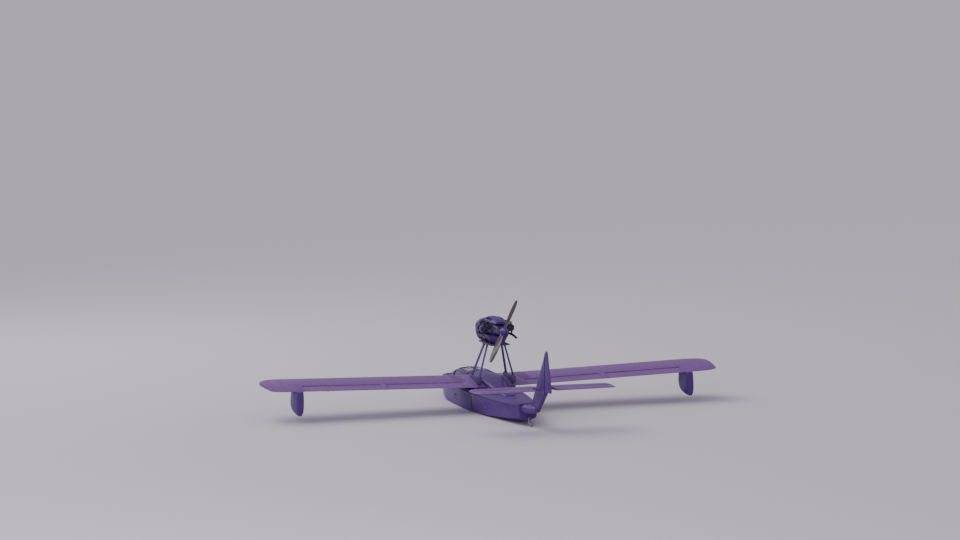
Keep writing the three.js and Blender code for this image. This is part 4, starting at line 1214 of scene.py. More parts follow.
def buildRisingLines(side, sign):  # fuel and control lines run up the front leg in clips
    footX, topX = pylonLook["legs"]["front"]
    footY, footZ = pylonLook["foot"]
    topY, topZ = pylonLook["top"]
    start = Vector((footX - 0.062, sign * footY, footZ + 0.004))
    rise = Vector((topX - 0.062, sign * topY, topZ - 0.004)) - start
    lines, clips = [], []
    for gap, radius in ((-0.010, 0.0055), (-0.023, 0.0043)):
        shift = start + Vector((gap, sign * 0.004, 0))
        run = [shift + Vector((0, 0, -0.012))] + [shift + rise * k / 6 for k in range(1, 7)]
        run += [shift + rise + Vector((-0.02, 0, 0.05)), shift + rise + Vector((-0.05, sign * -0.02, 0.115))]
        lines.append(pipe(run, radius))
    for k in range(1, 6):
        at = Matrix.Translation(start + rise * k / 6 + Vector((-0.016, sign * 0.004, 0)))
        clips.append(putAt(block((-0.016, -0.009, -0.007), (0.018, 0.009, 0.007), 0.003), at))
    assemble("risingLines" + side, lines, "blackRubber")
    assemble("lineClips" + side, clips, "bareMetal")


def buildEngineMounts():
    pieces = []
    for sign in sides.values():
        for x in pylonLook["mountX"]:
            y = sign * 0.170
            pieces.append(drum((x, y, 1.6085), (x, y, 1.635), 0.026, 0.005, 24, 0.021))
            pieces.append(drum((x, y, 1.635), (x, y, 1.641), 0.029, 0.002))
            pieces.append(pipe(ahead(pylonLook["mountArm"], x, sign), 0.013))
    assemble("engineMounts", pieces, "darkMetal")


for side, sign in sides.items():
    buildLegFittings(side, sign)
    buildRisingLines(side, sign)
buildEngineMounts()
print("cowls and pylon are ready")

# Hull fittings
hullLook = {
    "railZ": 0.436,
    "railX": evenly(2.93, -0.19, 30),
    "railRadius": 0.011,
    "stemY": evenly(0.105, -0.030, 8),
    "hatches": [  # ray's start, ray, radius
        ((-1.80, 0.0, 2), down, 0.085),
        ((-2.30, 0.0, 2), down, 0.070),
        ((-1.10, 1.5, 0.27), (0, -1, 0), 0.075),
        ((-1.10, -1.5, 0.27), (0, 1, 0), 0.075),
        ((-2.10, 1.5, 0.29), (0, -1, 0), 0.062),
        ((-2.10, -1.5, 0.29), (0, 1, 0), 0.062),
    ],
    "towZ": 0.16,
    "grab": {"x": (-0.98, -0.72), "y": 0.40, "radius": 0.0085},
    "step": {"x": (0.90, 1.06), "z": (0.250, 0.262), "strutX": (0.915, 1.045)},
    "fairingScrews": evenly(0.72, -0.118, 18),
    "aerialSection": ((0.034, 0.0), (0.016, 0.0075), (-0.012, 0.0075),
                      (-0.036, 0.0), (-0.012, -0.0075), (0.016, -0.0075)),
    "aerialRows": [  # x, z, size
        (-0.950, 0.585, 1.0), (-0.960, 0.680, 0.92), (-0.985, 0.800, 0.72), (-0.998, 0.836, 0.5),
    ],
}


def hullSkin(x):
    return "hull_forward" if x > -0.25 else "hull_aft"


def buildRubRail():
    height, radius = hullLook["railZ"], hullLook["railRadius"]
    rays = [((x, 1.4, height), (0, -1, 0)) for x in reversed(hullLook["railX"])]
    rays += [((4, y, height), (-1, 0, 0)) for y in hullLook["stemY"]]
    rays += [((x, -1.4, height), (0, 1, 0)) for x in hullLook["railX"]]
    points = []
    for start, ray in rays:
        point, normal = onSurface(hullSkin(start[0]), start, ray)
        point.x = eased(point.x)
        points.append(point + normal * radius * 0.35)
    ends = [ball(points[i], radius, around=16) for i in (0, -1)]
    assemble("rubRail", [pipe(points, radius), *ends], "blackRubber")


def buildHatches():
    for i, (start, ray, radius) in enumerate(hullLook["hatches"]):
        place = standOn(*onSurface(hullSkin(start[0]), start, ray))
        lid = drum((0, 0, -0.004), (0, 0, 0.004), radius, 0.0015, 40)
        lid = smooth(insetFaces(lid, 2, (radius * 0.18, 0.0), (0.004, -0.002)))
        out = radius * 0.89
        spots = [((out * cosine, out * sine, 0.004), (0, 0, 1)) for cosine, sine in circle(8)]
        heads = weld("heads", scatter(roundHead(0.0055, 0.0022), spots))
        assemble(f"hatch{i}", [putAt(lid, place)], "hullPaintPlain")
        assemble(f"hatchScrews{i}", [putAt(heads, place)], "bareMetal")


def buildBowHatch():  # on the foredeck, with two hinges and a latch
    top = onSurface("hull_forward", (2.47, 0, 2), down)[0].z
    lid = block((2.43, -0.13, top - 0.010), (2.56, 0.13, top + 0.008), 0.006, 3)
    assemble("bowHatch", [smooth(insetFaces(lid, 2, (0.022, 0.003)))], "hullPaintPlain")
    parts = []
    for y in (-0.08, 0.08):
        parts.append(drum((2.432, y - 0.022, top + 0.009), (2.432, y + 0.022, top + 0.009), 0.006, 0.001, 14))
        parts.append(block((2.432, y - 0.020, top + 0.0078), (2.462, y + 0.020, top + 0.0105), 0.001))
    parts.append(block((2.538, -0.018, top + 0.0095), (2.566, 0.018, top + 0.016), 0.003))
    parts.append(drum((2.552, 0, top + 0.012), (2.552, 0, top + 0.021), 0.008, 0.002, 16))
    assemble("bowHatchFittings", parts, "bareMetal")


def buildTowRing():
    foot = onSurface("hull_forward", (4, 0, hullLook["towZ"]), (-1, 0, 0))[0]
    ring = hoop(foot + Vector((0.022, 0, 0)), (0, 1, 0), 0.021, 0.0045, 36)
    eye = drum(foot + Vector((-0.01, 0, 0.021)), foot + Vector((0.012, 0, 0.021)), 0.010, 0.002, 20)
    tilt = Matrix.Translation(foot) @ Matrix.Rotation(math.radians(24), 4, "Y")
    pad = putAt(block((-0.002, -0.016, -0.045), (0.0035, 0.016, 0.045), 0.0015), tilt)
    assemble("towRing", [ring, eye, pad], "bareMetal")


def buildGrabRails():
    look = hullLook["grab"]
    grabs = []
    for sign in sides.values():
        y = look["y"] * sign
        (aft, low), (fore, high) = ((x, onSurface("hull_aft", (x, y, 2), down)[0].z) for x in look["x"])
        route = [(aft, y, low - 0.004), (aft + 0.012, y, low + 0.034), (aft + 0.045, y, low + 0.046),
                 (fore - 0.045, y, high + 0.046), (fore - 0.012, y, high + 0.034), (fore, y, high - 0.004)]
        grabs.append(pipe(route, look["radius"]))
        for x, z in ((aft, low), (fore, high)):
            grabs.append(drum((x, y, z - 0.002), (x, y, z + 0.005), 0.019, 0.0015))
    assemble("grabRails", grabs, "bareMetal")


def buildEntrySteps():  # a step plate on each flank below the canopy's sill
    look = hullLook["step"]
    plates = []
    for sign in sides.values():
        y = onSurface("hull_forward", (0.98, sign * 1.4, 0.26), (0, -sign, 0))[0].y
        (aft, fore), (low, high) = look["x"], look["z"]
        tread = block((aft, y - sign * 0.004, low), (fore, y + sign * 0.050, high), 0.004)
        plates.append(insetFaces(tread, 2, (0.008, -0.0015)))
        strut = [(0, y - sign * 0.002, 0.205), (0, y + sign * 0.022, 0.226), (0, y + sign * 0.044, 0.252)]
        plates += [pipe(ahead(strut, x), 0.005) for x in look["strutX"]]
    assemble("entrySteps", plates, "bareMetal")


def buildFairingTrim():
    rays = []
    for sign in sides.values():
        for x in hullLook["fairingScrews"]:
            rays.append(((x, sign * 0.9, 0.770 if x > -0.6 else 0.560), (0, -sign, -0.35)))
    screws = scatter(roundHead(0.0055, 0.0022), placesOn("dorsal_fairing", rays))
    assemble("fairingScrews", screws, "bareMetal")
    mast = ringSkin([
        [(x + dx * size, dy * size, z) for dx, dy in hullLook["aerialSection"]]
        for x, z, size in hullLook["aerialRows"]
    ])
    foot = block((-1.000, -0.022, 0.585), (-0.895, 0.022, 0.612), 0.006, 3)
    assemble("aerial", [mast, foot], "hullPaintPlain")


buildRubRail()
buildHatches()
buildBowHatch()
buildTowRing()
buildGrabRails()
buildEntrySteps()
buildFairingTrim()
print("hull fittings are ready")

# Wing: in each panel's own frame x runs forward, y outward and z away from the flat underside
wingLook = {
    "rootY": 0.6203,
    "underZ": 0.600,
    "dihedral": 1.5,
    "stripY": (0.002, 0.040),
    "walkY": (0.052, 0.300),
    "walkX": (-0.180, 0.520),
    "guardY": (0.30, 4.30),
    "guardX": 0.700,
    "screwX": evenly(0.66, -0.0515, 22),
    "screwY": (0.010, 0.032),
    "filler": (0.30, 0.72),
    "lamp": (0.500, 4.740, 0.066),
    "fairings": [0.120, 1.998, 2.112, 4.000],  # y of the pivots' fairings
    "fairingRows": [(0.060, 0.15), (0.0, 0.7), (-0.10, 1.0), (-0.19, 0.9), (-0.245, 0.45)],  # x, size
    "plates": (0.9, 1.9, 2.9, 3.9),
    "wicks": (2.55, 3.05, 3.55),
    "pitotY": 3.2,
    "pitotTube": [  # radius, x
        (0.0, 0.30), (0.0075, 0.302), (0.009, 0.32), (0.009, 0.50),
        (0.0065, 0.56), (0.0035, 0.567), (0.0028, 0.560), (0.0, 0.558),
    ],
}


def panelPlace(sign):
    turn = Matrix.Rotation(math.radians(wingLook["dihedral"]), 4, "X")
    port = Matrix.Translation((0, wingLook["rootY"], wingLook["underZ"])) @ turn
    return port if sign > 0 else acrossCentre @ port


def panelWays(sign):  # outwards and upwards on a panel
    turn = panelPlace(sign).to_3x3()
    return (turn @ Vector((0, 1, 0))).normalized(), (turn @ Vector((0, 0, 1))).normalized()


def toPanel(pieces, sign):
    port = weld("port", pieces)
    moved = twin(port, "moved", panelPlace(sign))
    remove(port)
    return [moved]


def buildWingSkins(side, sign):  # strips and plates that follow the panel's surface
    look = wingLook
    wing, place = "wing_" + side.lower(), panelPlace(sign)
    outWay, upWay = panelWays(sign)

    def between(inner, outer):
        return [(place @ Vector((0, outer, 0)), outWay), (place @ Vector((0, inner, 0)), -outWay)]

    aft, fore = look["walkX"]
    walk = between(*look["walkY"]) + [(Vector((fore, 0, 0)), (1, 0, 0)), (Vector((aft, 0, 0)), (-1, 0, 0))]
    guard = between(*look["guardY"]) + [(place @ Vector((look["guardX"], 0, 0)), (-1, 0, 0))]
    for name, cuts, facing, thick, finish in (
        ("jointStrip", between(*look["stripY"]), upWay, 0.0016, "wingPaint"),
        ("walkway", walk, upWay, 0.0022, "gritPaint"),
        ("leadingGuard", guard, Vector((1, 0, 0.15)), 0.0009, "bareMetal"),
    ):
        dress(patchOf(wing, name + side, cuts, facing, thick), finish)
    plates = []  # inspection plates below
    for y in look["plates"]:
        spot = standOn(*onSurface(wing, place @ Vector((0.12, y, -1.0)), upWay))
        plates.append(putAt(drum((0, 0, -0.002), (0, 0, 0.003), 0.055, 0.001, 32), spot))
    assemble("wingPlates" + side, plates, "wingPaint")


def buildWingTrim(side, sign):
    look = wingLook
    wing, place = "wing_" + side.lower(), panelPlace(sign)
    outWay, upWay = panelWays(sign)

    def above(x, y):
        return place @ Vector((x, y, 1.0)), -upWay

    places = placesOn(wing, [above(x, y) for x in look["screwX"] for y in look["screwY"]])
    places = [(point + upWay * 0.0014, normal) for point, normal in places]
    assemble("jointScrews" + side, scatter(roundHead(0.0048, 0.0020), places), "bareMetal")

    cap = drum((0, 0, -0.003), (0, 0, 0.005), 0.048, 0.002, 36)
    cap = insetFaces(cap, 2, (0.010, -0.001), (0.005, 0.004))
    lever = block((-0.024, -0.006, 0.006), (0.024, 0.006, 0.013))
    filler = putAt(weld("filler", [smooth(cap), lever]), standOn(*onSurface(wing, *above(*look["filler"]))))
    assemble("fuelFiller" + side, [filler], "bareMetal")

    # navigation lamp on the slanting front of the tip
    out = outWay * 0.25 + Vector((0.25, 0, 0))
    point, normal = onSurface(wing, place @ Vector(look["lamp"]) + out, -out)
    turn = Vector((1, sign * 0.4, 0)).to_track_quat("X", "Z").to_matrix().to_4x4()
    shell = putAt(ball((0, 0, 0), 0.022, (1.5, 0.8, 0.8)), Matrix.Translation(point - normal * 0.006) @ turn)
    assemble("navLamp" + side, [shell], "redLamp" if sign > 0 else "greenLamp")
    assemble("navCollar" + side, [hoop(point - normal * 0.001, normal, 0.020, 0.0045, 28)], "bareMetal")

    # fairings over the outer pivots of the ailerons and flaps, below the wing
    section = ((-0.008, 0), (-0.008, -0.030), (0, -0.040), (0.008, -0.030), (0.008, 0))
    fairings = [ringSkin([
        [(x, y + dy * size, dz * size if dz else 0.004) for dy, dz in section]
        for x, size in look["fairingRows"]
    ]) for y in look["fairings"]]
    assemble("pivotFairings" + side, toPanel(fairings, sign), "wingPaint")
    wick = [(-0.524, 0, 0.004), (-0.560, 0, 0.004), (-0.600, 0, 0.002)]
    wicks = [pipe([(x, y, z) for x, zero, z in wick], 0.0022, fine=1) for y in look["wicks"]]
    assemble("staticWicks" + side, toPanel(wicks, sign), "blackRubber", "aileron_" + side.lower())


def buildPitot():
    y = wingLook["pitotY"]
    section = ((0.030, 0), (0.012, 0.007), (-0.03, 0), (0.012, -0.007))
    mast = ringSkin([
        [(0.330 + dx * size, y + dy * size, z) for dx, dy in section]
        for z, size in ((0.004, 1.0), (-0.06, 0.9), (-0.128, 0.8))
    ])
    tube = spun(wingLook["pitotTube"], (0, y, -0.128), (1, 0, 0), 20)
    assemble("pitot", toPanel([mast, tube], 1), "bareMetal")


for side, sign in sides.items():
    buildWingSkins(side, sign)
    buildWingTrim(side, sign)
buildPitot()
print("wings are ready")

# Tip floats, also in the panel's frame
floatLook = {
    "y": 4.11,
    "keelX": evenly(-0.02, -0.072, 8),
    "rivets": [  # x and z: along the top, then down the back and the middle
        *((x, -0.045) for x in evenly(0.03, -0.035, 18)),
        *((-0.575, z) for z in evenly(-0.080, -0.035, 10)),
        *((-0.275, z) for z in evenly(-0.080, -0.035, 12)),
    ],
    "cap": (-0.42, -0.20),
    "boltX": (-0.47, -0.36, -0.25, -0.14, -0.02),
}


def buildFloatTrim(side, sign):
    look = floatLook
    node, place, y = "float_" + side.lower(), panelPlace(sign), look["y"]
    outWay, upWay = panelWays(sign)
    keel = [onSurface(node, place @ Vector((x, y, -1.2)), upWay)[0] + upWay * 0.004 for x in look["keelX"]]
    assemble("floatKeel" + side, [pipe(keel, 0.008)], "bareMetal")

    def flank(x, z, face):
        return onSurface(node, place @ Vector((x, y + face * 0.6, z)), -outWay * face)

    rivets, flange, bolts = [], [], []
    for face in (1, -1):
        rivets += [flank(x, z, face) for x, z in look["rivets"]]
        flange.append(block((-0.500, y + face * 0.070, -0.0055), (0.01, y + face * 0.112, 0.0005), 0.0015))
        for x in look["boltX"]:
            bolts.append((place @ Vector((x, y + face * 0.100, -0.0052)), -upWay))
    assemble("floatRivets" + side, scatter(roundHead(0.0055, 0.0022), rivets), "hullPaintPlain")
    cap = drum((0, 0, -0.003), (0, 0, 0.006), 0.050, 0.002, 36)
    cap = smooth(insetFaces(cap, 2, (0.010, -0.0015), (0.020, 0.0025)))
    assemble("floatCap" + side, [putAt(cap, standOn(*flank(*look["cap"], 1)))], "hullPaintPlain")
    assemble("floatFlange" + side, toPanel(flange, sign), "hullPaint")
    assemble("floatBolts" + side, scatter(hexHead(0.0065, 0.008), bolts), "bareMetal")


for side, sign in sides.items():
    buildFloatTrim(side, sign)
print("floats are ready")

# Tail fittings
tailLook = {
    "gudgeonZ": (1.15, 1.42, 1.68),
    "hornPinY": (-0.075, 0.075),
    "hingeY": (0.55, 1.05, 1.50),
    "tillerPinY": (-0.066, 0.066),
    "strapZ": (0.020, 0.080),
}


def buildTailTrim():
    look = tailLook
    assemble("tailLamp", [ball((-3.960, 0, 1.806), 0.012, (1.7, 0.8, 0.9))], "whiteLamp")
    assemble("tailLampBase", [block((-3.988, -0.011, 1.7975), (-3.932, 0.011, 1.8030), 0.0018)], "bareMetal")
    gudgeons = []
    for z in look["gudgeonZ"]:
        gudgeons.append(block((-4.022, -0.012, z - 0.018), (-4.004, 0.012, z + 0.018), 0.003))
    assemble("finGudgeons", gudgeons, "bareMetal")
    horn = [block((-4.085, -0.085, 0.9365), (-4.050, 0.085, 0.9440), 0.003)]
    horn += [drum((-4.068, y, 0.932), (-4.068, y, 0.950), 0.006, 0.001, 16) for y in look["hornPinY"]]
    assemble("rudderHorn", horn, "bareMetal", "rudder")
    straps = []
    for y in [sign * y for sign in sides.values() for y in look["hingeY"]]:
        straps.append(block((-3.752, y - 0.016, 0.945), (-3.722, y + 0.016, 0.996), 0.004))
    assemble("elevatorHinges", straps, "bareMetal")
    tiller = [block((-2.810, -0.075, 0.1700), (-2.782, 0.075, 0.1770), 0.003)]
    tiller += [drum((-2.796, y, 0.166), (-2.796, y, 0.182), 0.005, 0.001, 14) for y in look["tillerPinY"]]
    tiller += [block((-2.872, -0.0085, z), (-2.788, 0.0085, z + 0.022)) for z in look["strapZ"]]
    assemble("waterRudderTiller", tiller, "bareMetal", "water_rudder")


buildTailTrim()
print("tail is ready")

# Seats: padded pads that swell between their seams, with a belt and its buckle
seatLook = {
    "y": 0.205,
    "voxel": 0.005,
    "swell": 0.014,  # how far a point may move
    "inside": 0.0008,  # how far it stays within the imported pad's box
    "pressure": 4.0,
    "start": 0.965,  # smaller at first, since a pad swells
    "frames": 20,
    "seamHalf": 0.018,
    "beltX": 1.075,
    "belt": [  # y and z from the middle of the cushion's top
        (-0.180, -0.060), (-0.176, -0.012), (-0.150, 0.004), (-0.08, 0.006), (0, 0.006),
        (0.08, 0.006), (0.150, 0.004), (0.176, -0.012), (0.180, -0.060),
    ],
    "beltWidth": 0.046,
    "beltThick": 0.0022,
}


def swollen(name, node):
    look = seatLook
    low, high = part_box(node)
    pad = skinOf(node, name, 0.020, 4, 28, 60)
    editAll(pad)
    bpy.ops.transform.resize(value=(look["start"],) * 3, center_override=(low + high) / 2)
    leaveEdit()
    modify(pad, "REMESH", mode="VOXEL", voxel_size=look["voxel"])
    rest = [vertex.co.copy() for vertex in pad.data.vertices]
    activate(pad)
    cloth = pad.modifiers.new("swell", "CLOTH").settings
    cloth.use_pressure = True
    cloth.uniform_pressure_force = look["pressure"]
    cloth.effector_weights.gravity = 0
    cloth.quality = 6
    cloth.tension_stiffness = 18
    for number in range(look["frames"]):
        bpy.context.scene.frame_set(number + 1)
    bpy.ops.object.modifier_apply(modifier="swell")
    bpy.context.scene.frame_set(1)
    for vertex, before in zip(pad.data.vertices, rest):
        step = vertex.co - before
        if step.length > look["swell"]:
            step *= look["swell"] / step.length
        for axis, moved in enumerate(before + step):
            vertex.co[axis] = min(max(moved, low[axis] + look["inside"]), high[axis] - look["inside"])
    return smooth(modify(pad, "SUBSURF", levels=1, render_levels=1), 60)


def sewChannels(pad, axis, places, into, depth, wanted):  # rows of stitching pulled into the pad
    half = seatLook["seamHalf"]
    for place in places:
        for vertex in pad.data.vertices:
            away = vertex.co[axis] - place
            if abs(away) < half and wanted(vertex):
                vertex.co[into] -= depth * math.cos(away / half * math.pi / 2) ** 2


def strapAlong(points, width, thick):  # a flat strap that follows the points
    across = Vector((1, 0, 0))
    section = [(share, -0.5) for share in (-0.5, -0.17, 0.17, 0.5)]
    section += [(share, 0.5) for share in (0.5, 0.17, -0.17, -0.5)]
    rings = []
    for before, point, after in zip(points[:1] + points, points, points[1:] + points[-1:]):
        up = across.cross(after - before).normalized()
        rings.append([point + across * width * along + up * thick * rise for along, rise in section])
    return ringSkin(rings, 40)


def buildSeat(side, sign):
    look = seatLook
    cushionNode, backNode = "seat_cushion_" + side.lower(), "seat_back_" + side.lower()
    low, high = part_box(cushionNode)
    middle, top = (low.z + high.z) / 2, high.z
    cushion = swollen("seatCushion" + side, cushionNode)
    sewChannels(cushion, 0, (1.14, 1.28), 2, 0.007, lambda vertex: vertex.co.z > middle)
    dress(cushion, "seatCloth", "airframe", cushionNode)
    back = swollen("seatBack" + side, backNode)
    sewChannels(back, 2, (0.26, 0.38), 0, 0.006, lambda vertex: vertex.normal.x > 0.3)
    dress(back, "seatCloth", "airframe", backNode)

    x, y = look["beltX"], sign * look["y"]
    run = [Vector((x, y + across, top + up)) for across, up in look["belt"]]
    assemble("lapBelt" + side, [strapAlong(run, look["beltWidth"], look["beltThick"])], "beltWeb")
    buckle = block((x - 0.030, y - 0.034, top + 0.0055), (x + 0.030, y + 0.034, top + 0.0150), 0.003)
    lever = block((x - 0.022, y - 0.026, top + 0.0145), (x + 0.022, y + 0.006, top + 0.0185), 0.0015)
    slide = block((x - 0.028, y + 0.060, top + 0.0050), (x + 0.028, y + 0.078, top + 0.0110))
    assemble("beltBuckle" + side, [insetFaces(buckle, 2, (0.007, 0.002)), lever, slide], "bareMetal")


for side, sign in sides.items():
    buildSeat(side, sign)
print("seats are ready")

# Cabin: dials, switches, throttle, stick grips, pedal treads and stiffeners
cabinLook = {
    "panelX": 1.950,
    "dials": [  # y, z, radius
        (0.345, 0.405, 0.031), (0.270, 0.405, 0.031), (0.195, 0.405, 0.031),
        (0.345, 0.345, 0.019), (0.295, 0.345, 0.019), (0.245, 0.345, 0.019), (0.195, 0.345, 0.019),
        (0.080, 0.415, 0.024), (0.020, 0.415, 0.024), (-0.040, 0.415, 0.024),
        (-0.195, 0.405, 0.031), (-0.270, 0.405, 0.031),
    ],
    "scaleTurns": evenly(-135, 27, 11),  # degrees
    "corners": [(-1, -1), (-1, 1), (1, -1), (1, 1)],
    "switches": evenly(0.085, -0.022, 8),
    "switchZ": 0.360,
    "breakers": [(y, z) for z in (0.345, 0.369) for y in evenly(-0.345, 0.022, 4)],
    "pulls": {"z": 0.325, "knobs": [(0.040, 0.045), (-0.010, 0.030), (-0.060, 0.020)]},  # y, length
    "screws": [(y, z) for y in (-0.42, -0.14, 0.13, 0.42) for z in (0.312, 0.447)],
    "padding": [(-0.026, 0.452), (-0.022, 0.470), (0.000, 0.478), (0.026, 0.476),
                (0.026, 0.4595), (-0.006, 0.4595), (-0.008, 0.4530), (-0.020, 0.4495)],
    "paddingY": (-0.405, -0.38, -0.2, 0.0, 0.2, 0.38, 0.405),
}
stickLook = {
    "x": 1.600,
    "y": 0.205,
    "grip": [  # radius, height from the stick's top
        (0.0, -0.128), (0.0168, -0.128), (0.0195, -0.120), (0.0178, -0.100), (0.0195, -0.080),
        (0.0178, -0.060), (0.0195, -0.040), (0.0185, -0.020), (0.0205, -0.006), (0.0165, 0.0015),
        (0.0, 0.0035),
    ],
    "boot": [  # radius, height from the stick's foot
        (0.0120, 0.085), (0.0165, 0.078), (0.0150, 0.070), (0.0230, 0.060), (0.0205, 0.050),
        (0.0310, 0.040), (0.0280, 0.030), (0.0400, 0.018), (0.0450, 0.0105), (0.0120, 0.0105),
    ],
}
floorLook = {
    "pedalY": (-0.27, -0.14, 0.14, 0.27),
    "treadDrops": evenly(0.018, 0.022, 4),
    "matX": (1.66, 1.98),
    "matY": 0.125,
    "matRibs": evenly(1.68, 0.035, 9),
    "ribTops": {-0.36: 0.655, -0.18: 0.735, 0.0: 0.735, 0.18: 0.735, 0.36: 0.655},  # y, z
    "crossZ": (0.545, 0.640),
    "stand": (1.500, 0.120),  # x of its middle, z of its top
    "levers": [(-0.0125, 24), (0.0125, -8)],  # y, degrees forward
}


def buildDials():
    face = cabinLook["panelX"]
    rims, faces, marks, glasses = [], [], [], []
    for y, z, radius in cabinLook["dials"]:
        rims.append(hoop((face - 0.0035, y, z), (1, 0, 0), radius, 0.0032, 36, 8))
        faces.append(drum((face - 0.0030, y, z), (face + 0.0010, y, z), radius * 0.98, around=32))
        for degrees in cabinLook["scaleTurns"]:
            way = math.radians(degrees)
            at = Vector((face - 0.0034, y, z)) + Vector((0, math.sin(way), math.cos(way))) * radius * 0.78
            mark = block((-0.0003, -0.0007, -radius * 0.09), (0.0003, 0.0007, radius * 0.09), 0.0)
            marks.append(putAt(mark, Matrix.Translation(at) @ Matrix.Rotation(-way, 4, "X")))
        way = math.radians(60 + 431 * (y + z) % 200)
        tip = Vector((0, math.sin(way), math.cos(way))) * radius * 0.66
        pivot = Vector((face - 0.0038, y, z))
        marks.append(drum(pivot - tip * 0.25, pivot + tip, 0.0014, 0.0, 6, 0.0003))
        marks.append(drum((face - 0.0050, y, z), (face - 0.0030, y, z), radius * 0.10, 0.0003, 14))
        glasses.append(drum((face - 0.0062, y, z), (face - 0.0050, y, z), radius * 0.93, around=32))
        for dy, dz in cabinLook["corners"]:
            across, up = y + dy * radius * 0.80, z + dz * radius * 0.80
            rims.append(drum((face - 0.0022, across, up), (face + 0.0008, across, up), 0.0022, around=8))
    assemble("dialRims", rims, "darkMetal")
    assemble("dialFaces", faces, "blackRubber")
    assemble("dialMarks", marks, "markPaint")
    assemble("dialGlasses", glasses, "windowGlass")


def buildPanelControls():
    look, face = cabinLook, cabinLook["panelX"]
    switches, knobs, shafts = [], [], []
    for y in look["switches"]:
        z = look["switchZ"]
        switches.append(drum((face - 0.0025, y, z), (face + 0.001, y, z), 0.0065, around=6))
        switches.append(drum((face - 0.002, y, z), (face - 0.019, y, z + 0.0065), 0.0022, 0.0, 12, 0.0030))
        switches.append(ball((face - 0.0195, y, z + 0.0067), 0.0033, around=12))
    for y, z in look["breakers"]:
        knobs.append(drum((face - 0.009, y, z), (face + 0.001, y, z), 0.0055, 0.001, 16))
    for y, out in look["pulls"]["knobs"]:
        z = look["pulls"]["z"]
        knobs.append(ball((face - out, y, z), 0.0125, (0.7, 1, 1), 18))
        shafts.append(drum((face - out, y, z), (face + 0.001, y, z), 0.0036, around=14))
        shafts.append(drum((face - 0.004, y, z), (face + 0.001, y, z), 0.010, 0.001, 6))
    assemble("switches", switches, "bareMetal")
    assemble("knobs", knobs, "blackRubber")
    assemble("pullShafts", shafts, "bareMetal")
    places = [((face, y, z), (-1, 0, 0)) for y, z in look["screws"]]
    assemble("panelScrews", scatter(roundHead(0.0055, 0.0025), places), "bareMetal")
    coaming = ringSkin([[(face + dx, y, z) for dx, z in look["padding"]] for y in look["paddingY"]])
    assemble("panelPadding", [coaming], "blackRubber")


def buildStick(side, sign):
    look = stickLook
    low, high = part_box("control_stick_" + side.lower())
    x, y, top = look["x"], sign * look["y"], high.z
    assemble("stickGrip" + side, [spun(look["grip"], (x, y, top), (0, 0, 1), 28)], "blackRubber")
    button = drum((x - 0.022, y, top - 0.018), (x - 0.0165, y, top - 0.018), 0.005, 0.001, 16)
    collar = hoop((x, y, top - 0.131), (0, 0, 1), 0.0140, 0.0030, 24, 8)
    assemble("stickTrim" + side, [button, collar], "bareMetal")
    assemble("stickBoot" + side, [spun(look["boot"], (x, y, low.z), (0, 0, 1), 32, 60)], "blackRubber")


def buildFloorFittings():
    look = floorLook
    treads, mats = [], []
    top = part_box("rudder_pedals")[1].z
    rays = [((1.8, y, top - drop), (1, 0, 0)) for y in look["pedalY"] for drop in look["treadDrops"]]
    for point, normal in placesOn("rudder_pedals", rays):
        low, high = point + Vector((-0.0035, -0.028, -0.006)), point + Vector((0.001, 0.028, 0.004))
        treads.append(block(low, high, 0.0015, 1))
    assemble("pedalTreads", treads, "blackRubber")
    aft, fore = look["matX"]
    for y in [sign * look["matY"] for sign in sides.values()]:
        mats.append(block((aft, y - 0.095, -0.0622), (fore, y + 0.095, -0.0560)))
        for x in look["matRibs"]:
            mats.append(block((x, y - 0.088, -0.0562), (x + 0.014, y + 0.088, -0.0540), 0.0006, 1))
    assemble("floorMats", mats, "blackRubber")
    ribs = []
    for y, z in look["ribTops"].items():
        ribs.append(block((0.8215, y - 0.009, 0.515), (0.8315, y + 0.009, z), 0.003))
    ribs += [block((0.8215, -0.395, z - 0.008), (0.8290, 0.395, z + 0.008)) for z in look["crossZ"]]
    assemble("bulkheadStiffeners", ribs, "hullPaint")


def buildThrottle():
    x, top = floorLook["stand"]
    stand = [block((x - 0.055, -0.030, -0.0622), (x + 0.055, 0.030, top), 0.008, 3)]
    stand.append(drum((x, -0.024, top), (x, 0.024, top), 0.046, 0.003, 40))
    levers, knobs = [], []
    for y, degrees in floorLook["levers"]:
        stand.append(hoop((x, y, top), (0, 1, 0), 0.0462, 0.0016, 40, 6))  # the slot that the lever runs in
        way = Vector((math.sin(math.radians(degrees)), 0, math.cos(math.radians(degrees))))
        foot = Vector((x, y, top)) + way * 0.040
        levers.append(drum(foot, foot + way * 0.070, 0.0042, 0.0, 14, 0.0032))
        knobs.append(ball(foot + way * 0.076, 0.0125, (1, 0.85, 1)))
    assemble("throttleStand", stand, "panelPaint")
    assemble("throttleLevers", levers, "bareMetal")
    assemble("throttleKnobs", knobs, "blackRubber")


buildDials()
buildPanelControls()
for side, sign in sides.items():
    buildStick(side, sign)
buildFloorFittings()
buildThrottle()
print("cabin is ready")

# Canopy trim: rubber seals round each pane, hinge pins, a latch on each side and roof studs
canopyLook = {
    "seals": {  # x and z of the side window, x and y of the others
        "sideWindow": [(0.930, 0.560), (1.700, 0.560), (1.620, 0.716), (1.560, 0.722), (0.930, 0.712)],
        "screenPane": [(2.210, 0.022), (1.740, 0.022), (1.740, 0.262), (1.800, 0.280), (2.210, 0.226)],
        "roofPane": [(1.600, 0.024), (0.930, 0.024), (0.930, 0.268), (1.600, 0.240)],
    },
    "seal": 0.0052,
    "sealPitch": 0.035,
    "sealOut": 0.006,
    "latch": (0.885, 0.560),
    "studX": (1.22, 1.34),
    "sillX": evenly(0.90, 0.115, 12),
    "roofX": evenly(0.95, 0.10, 7),
    "ridgeX": evenly(1.76, 0.052, 9),
    "pin": (2.352, 0.542),
    "pinY": (0.186, 0.284),
}


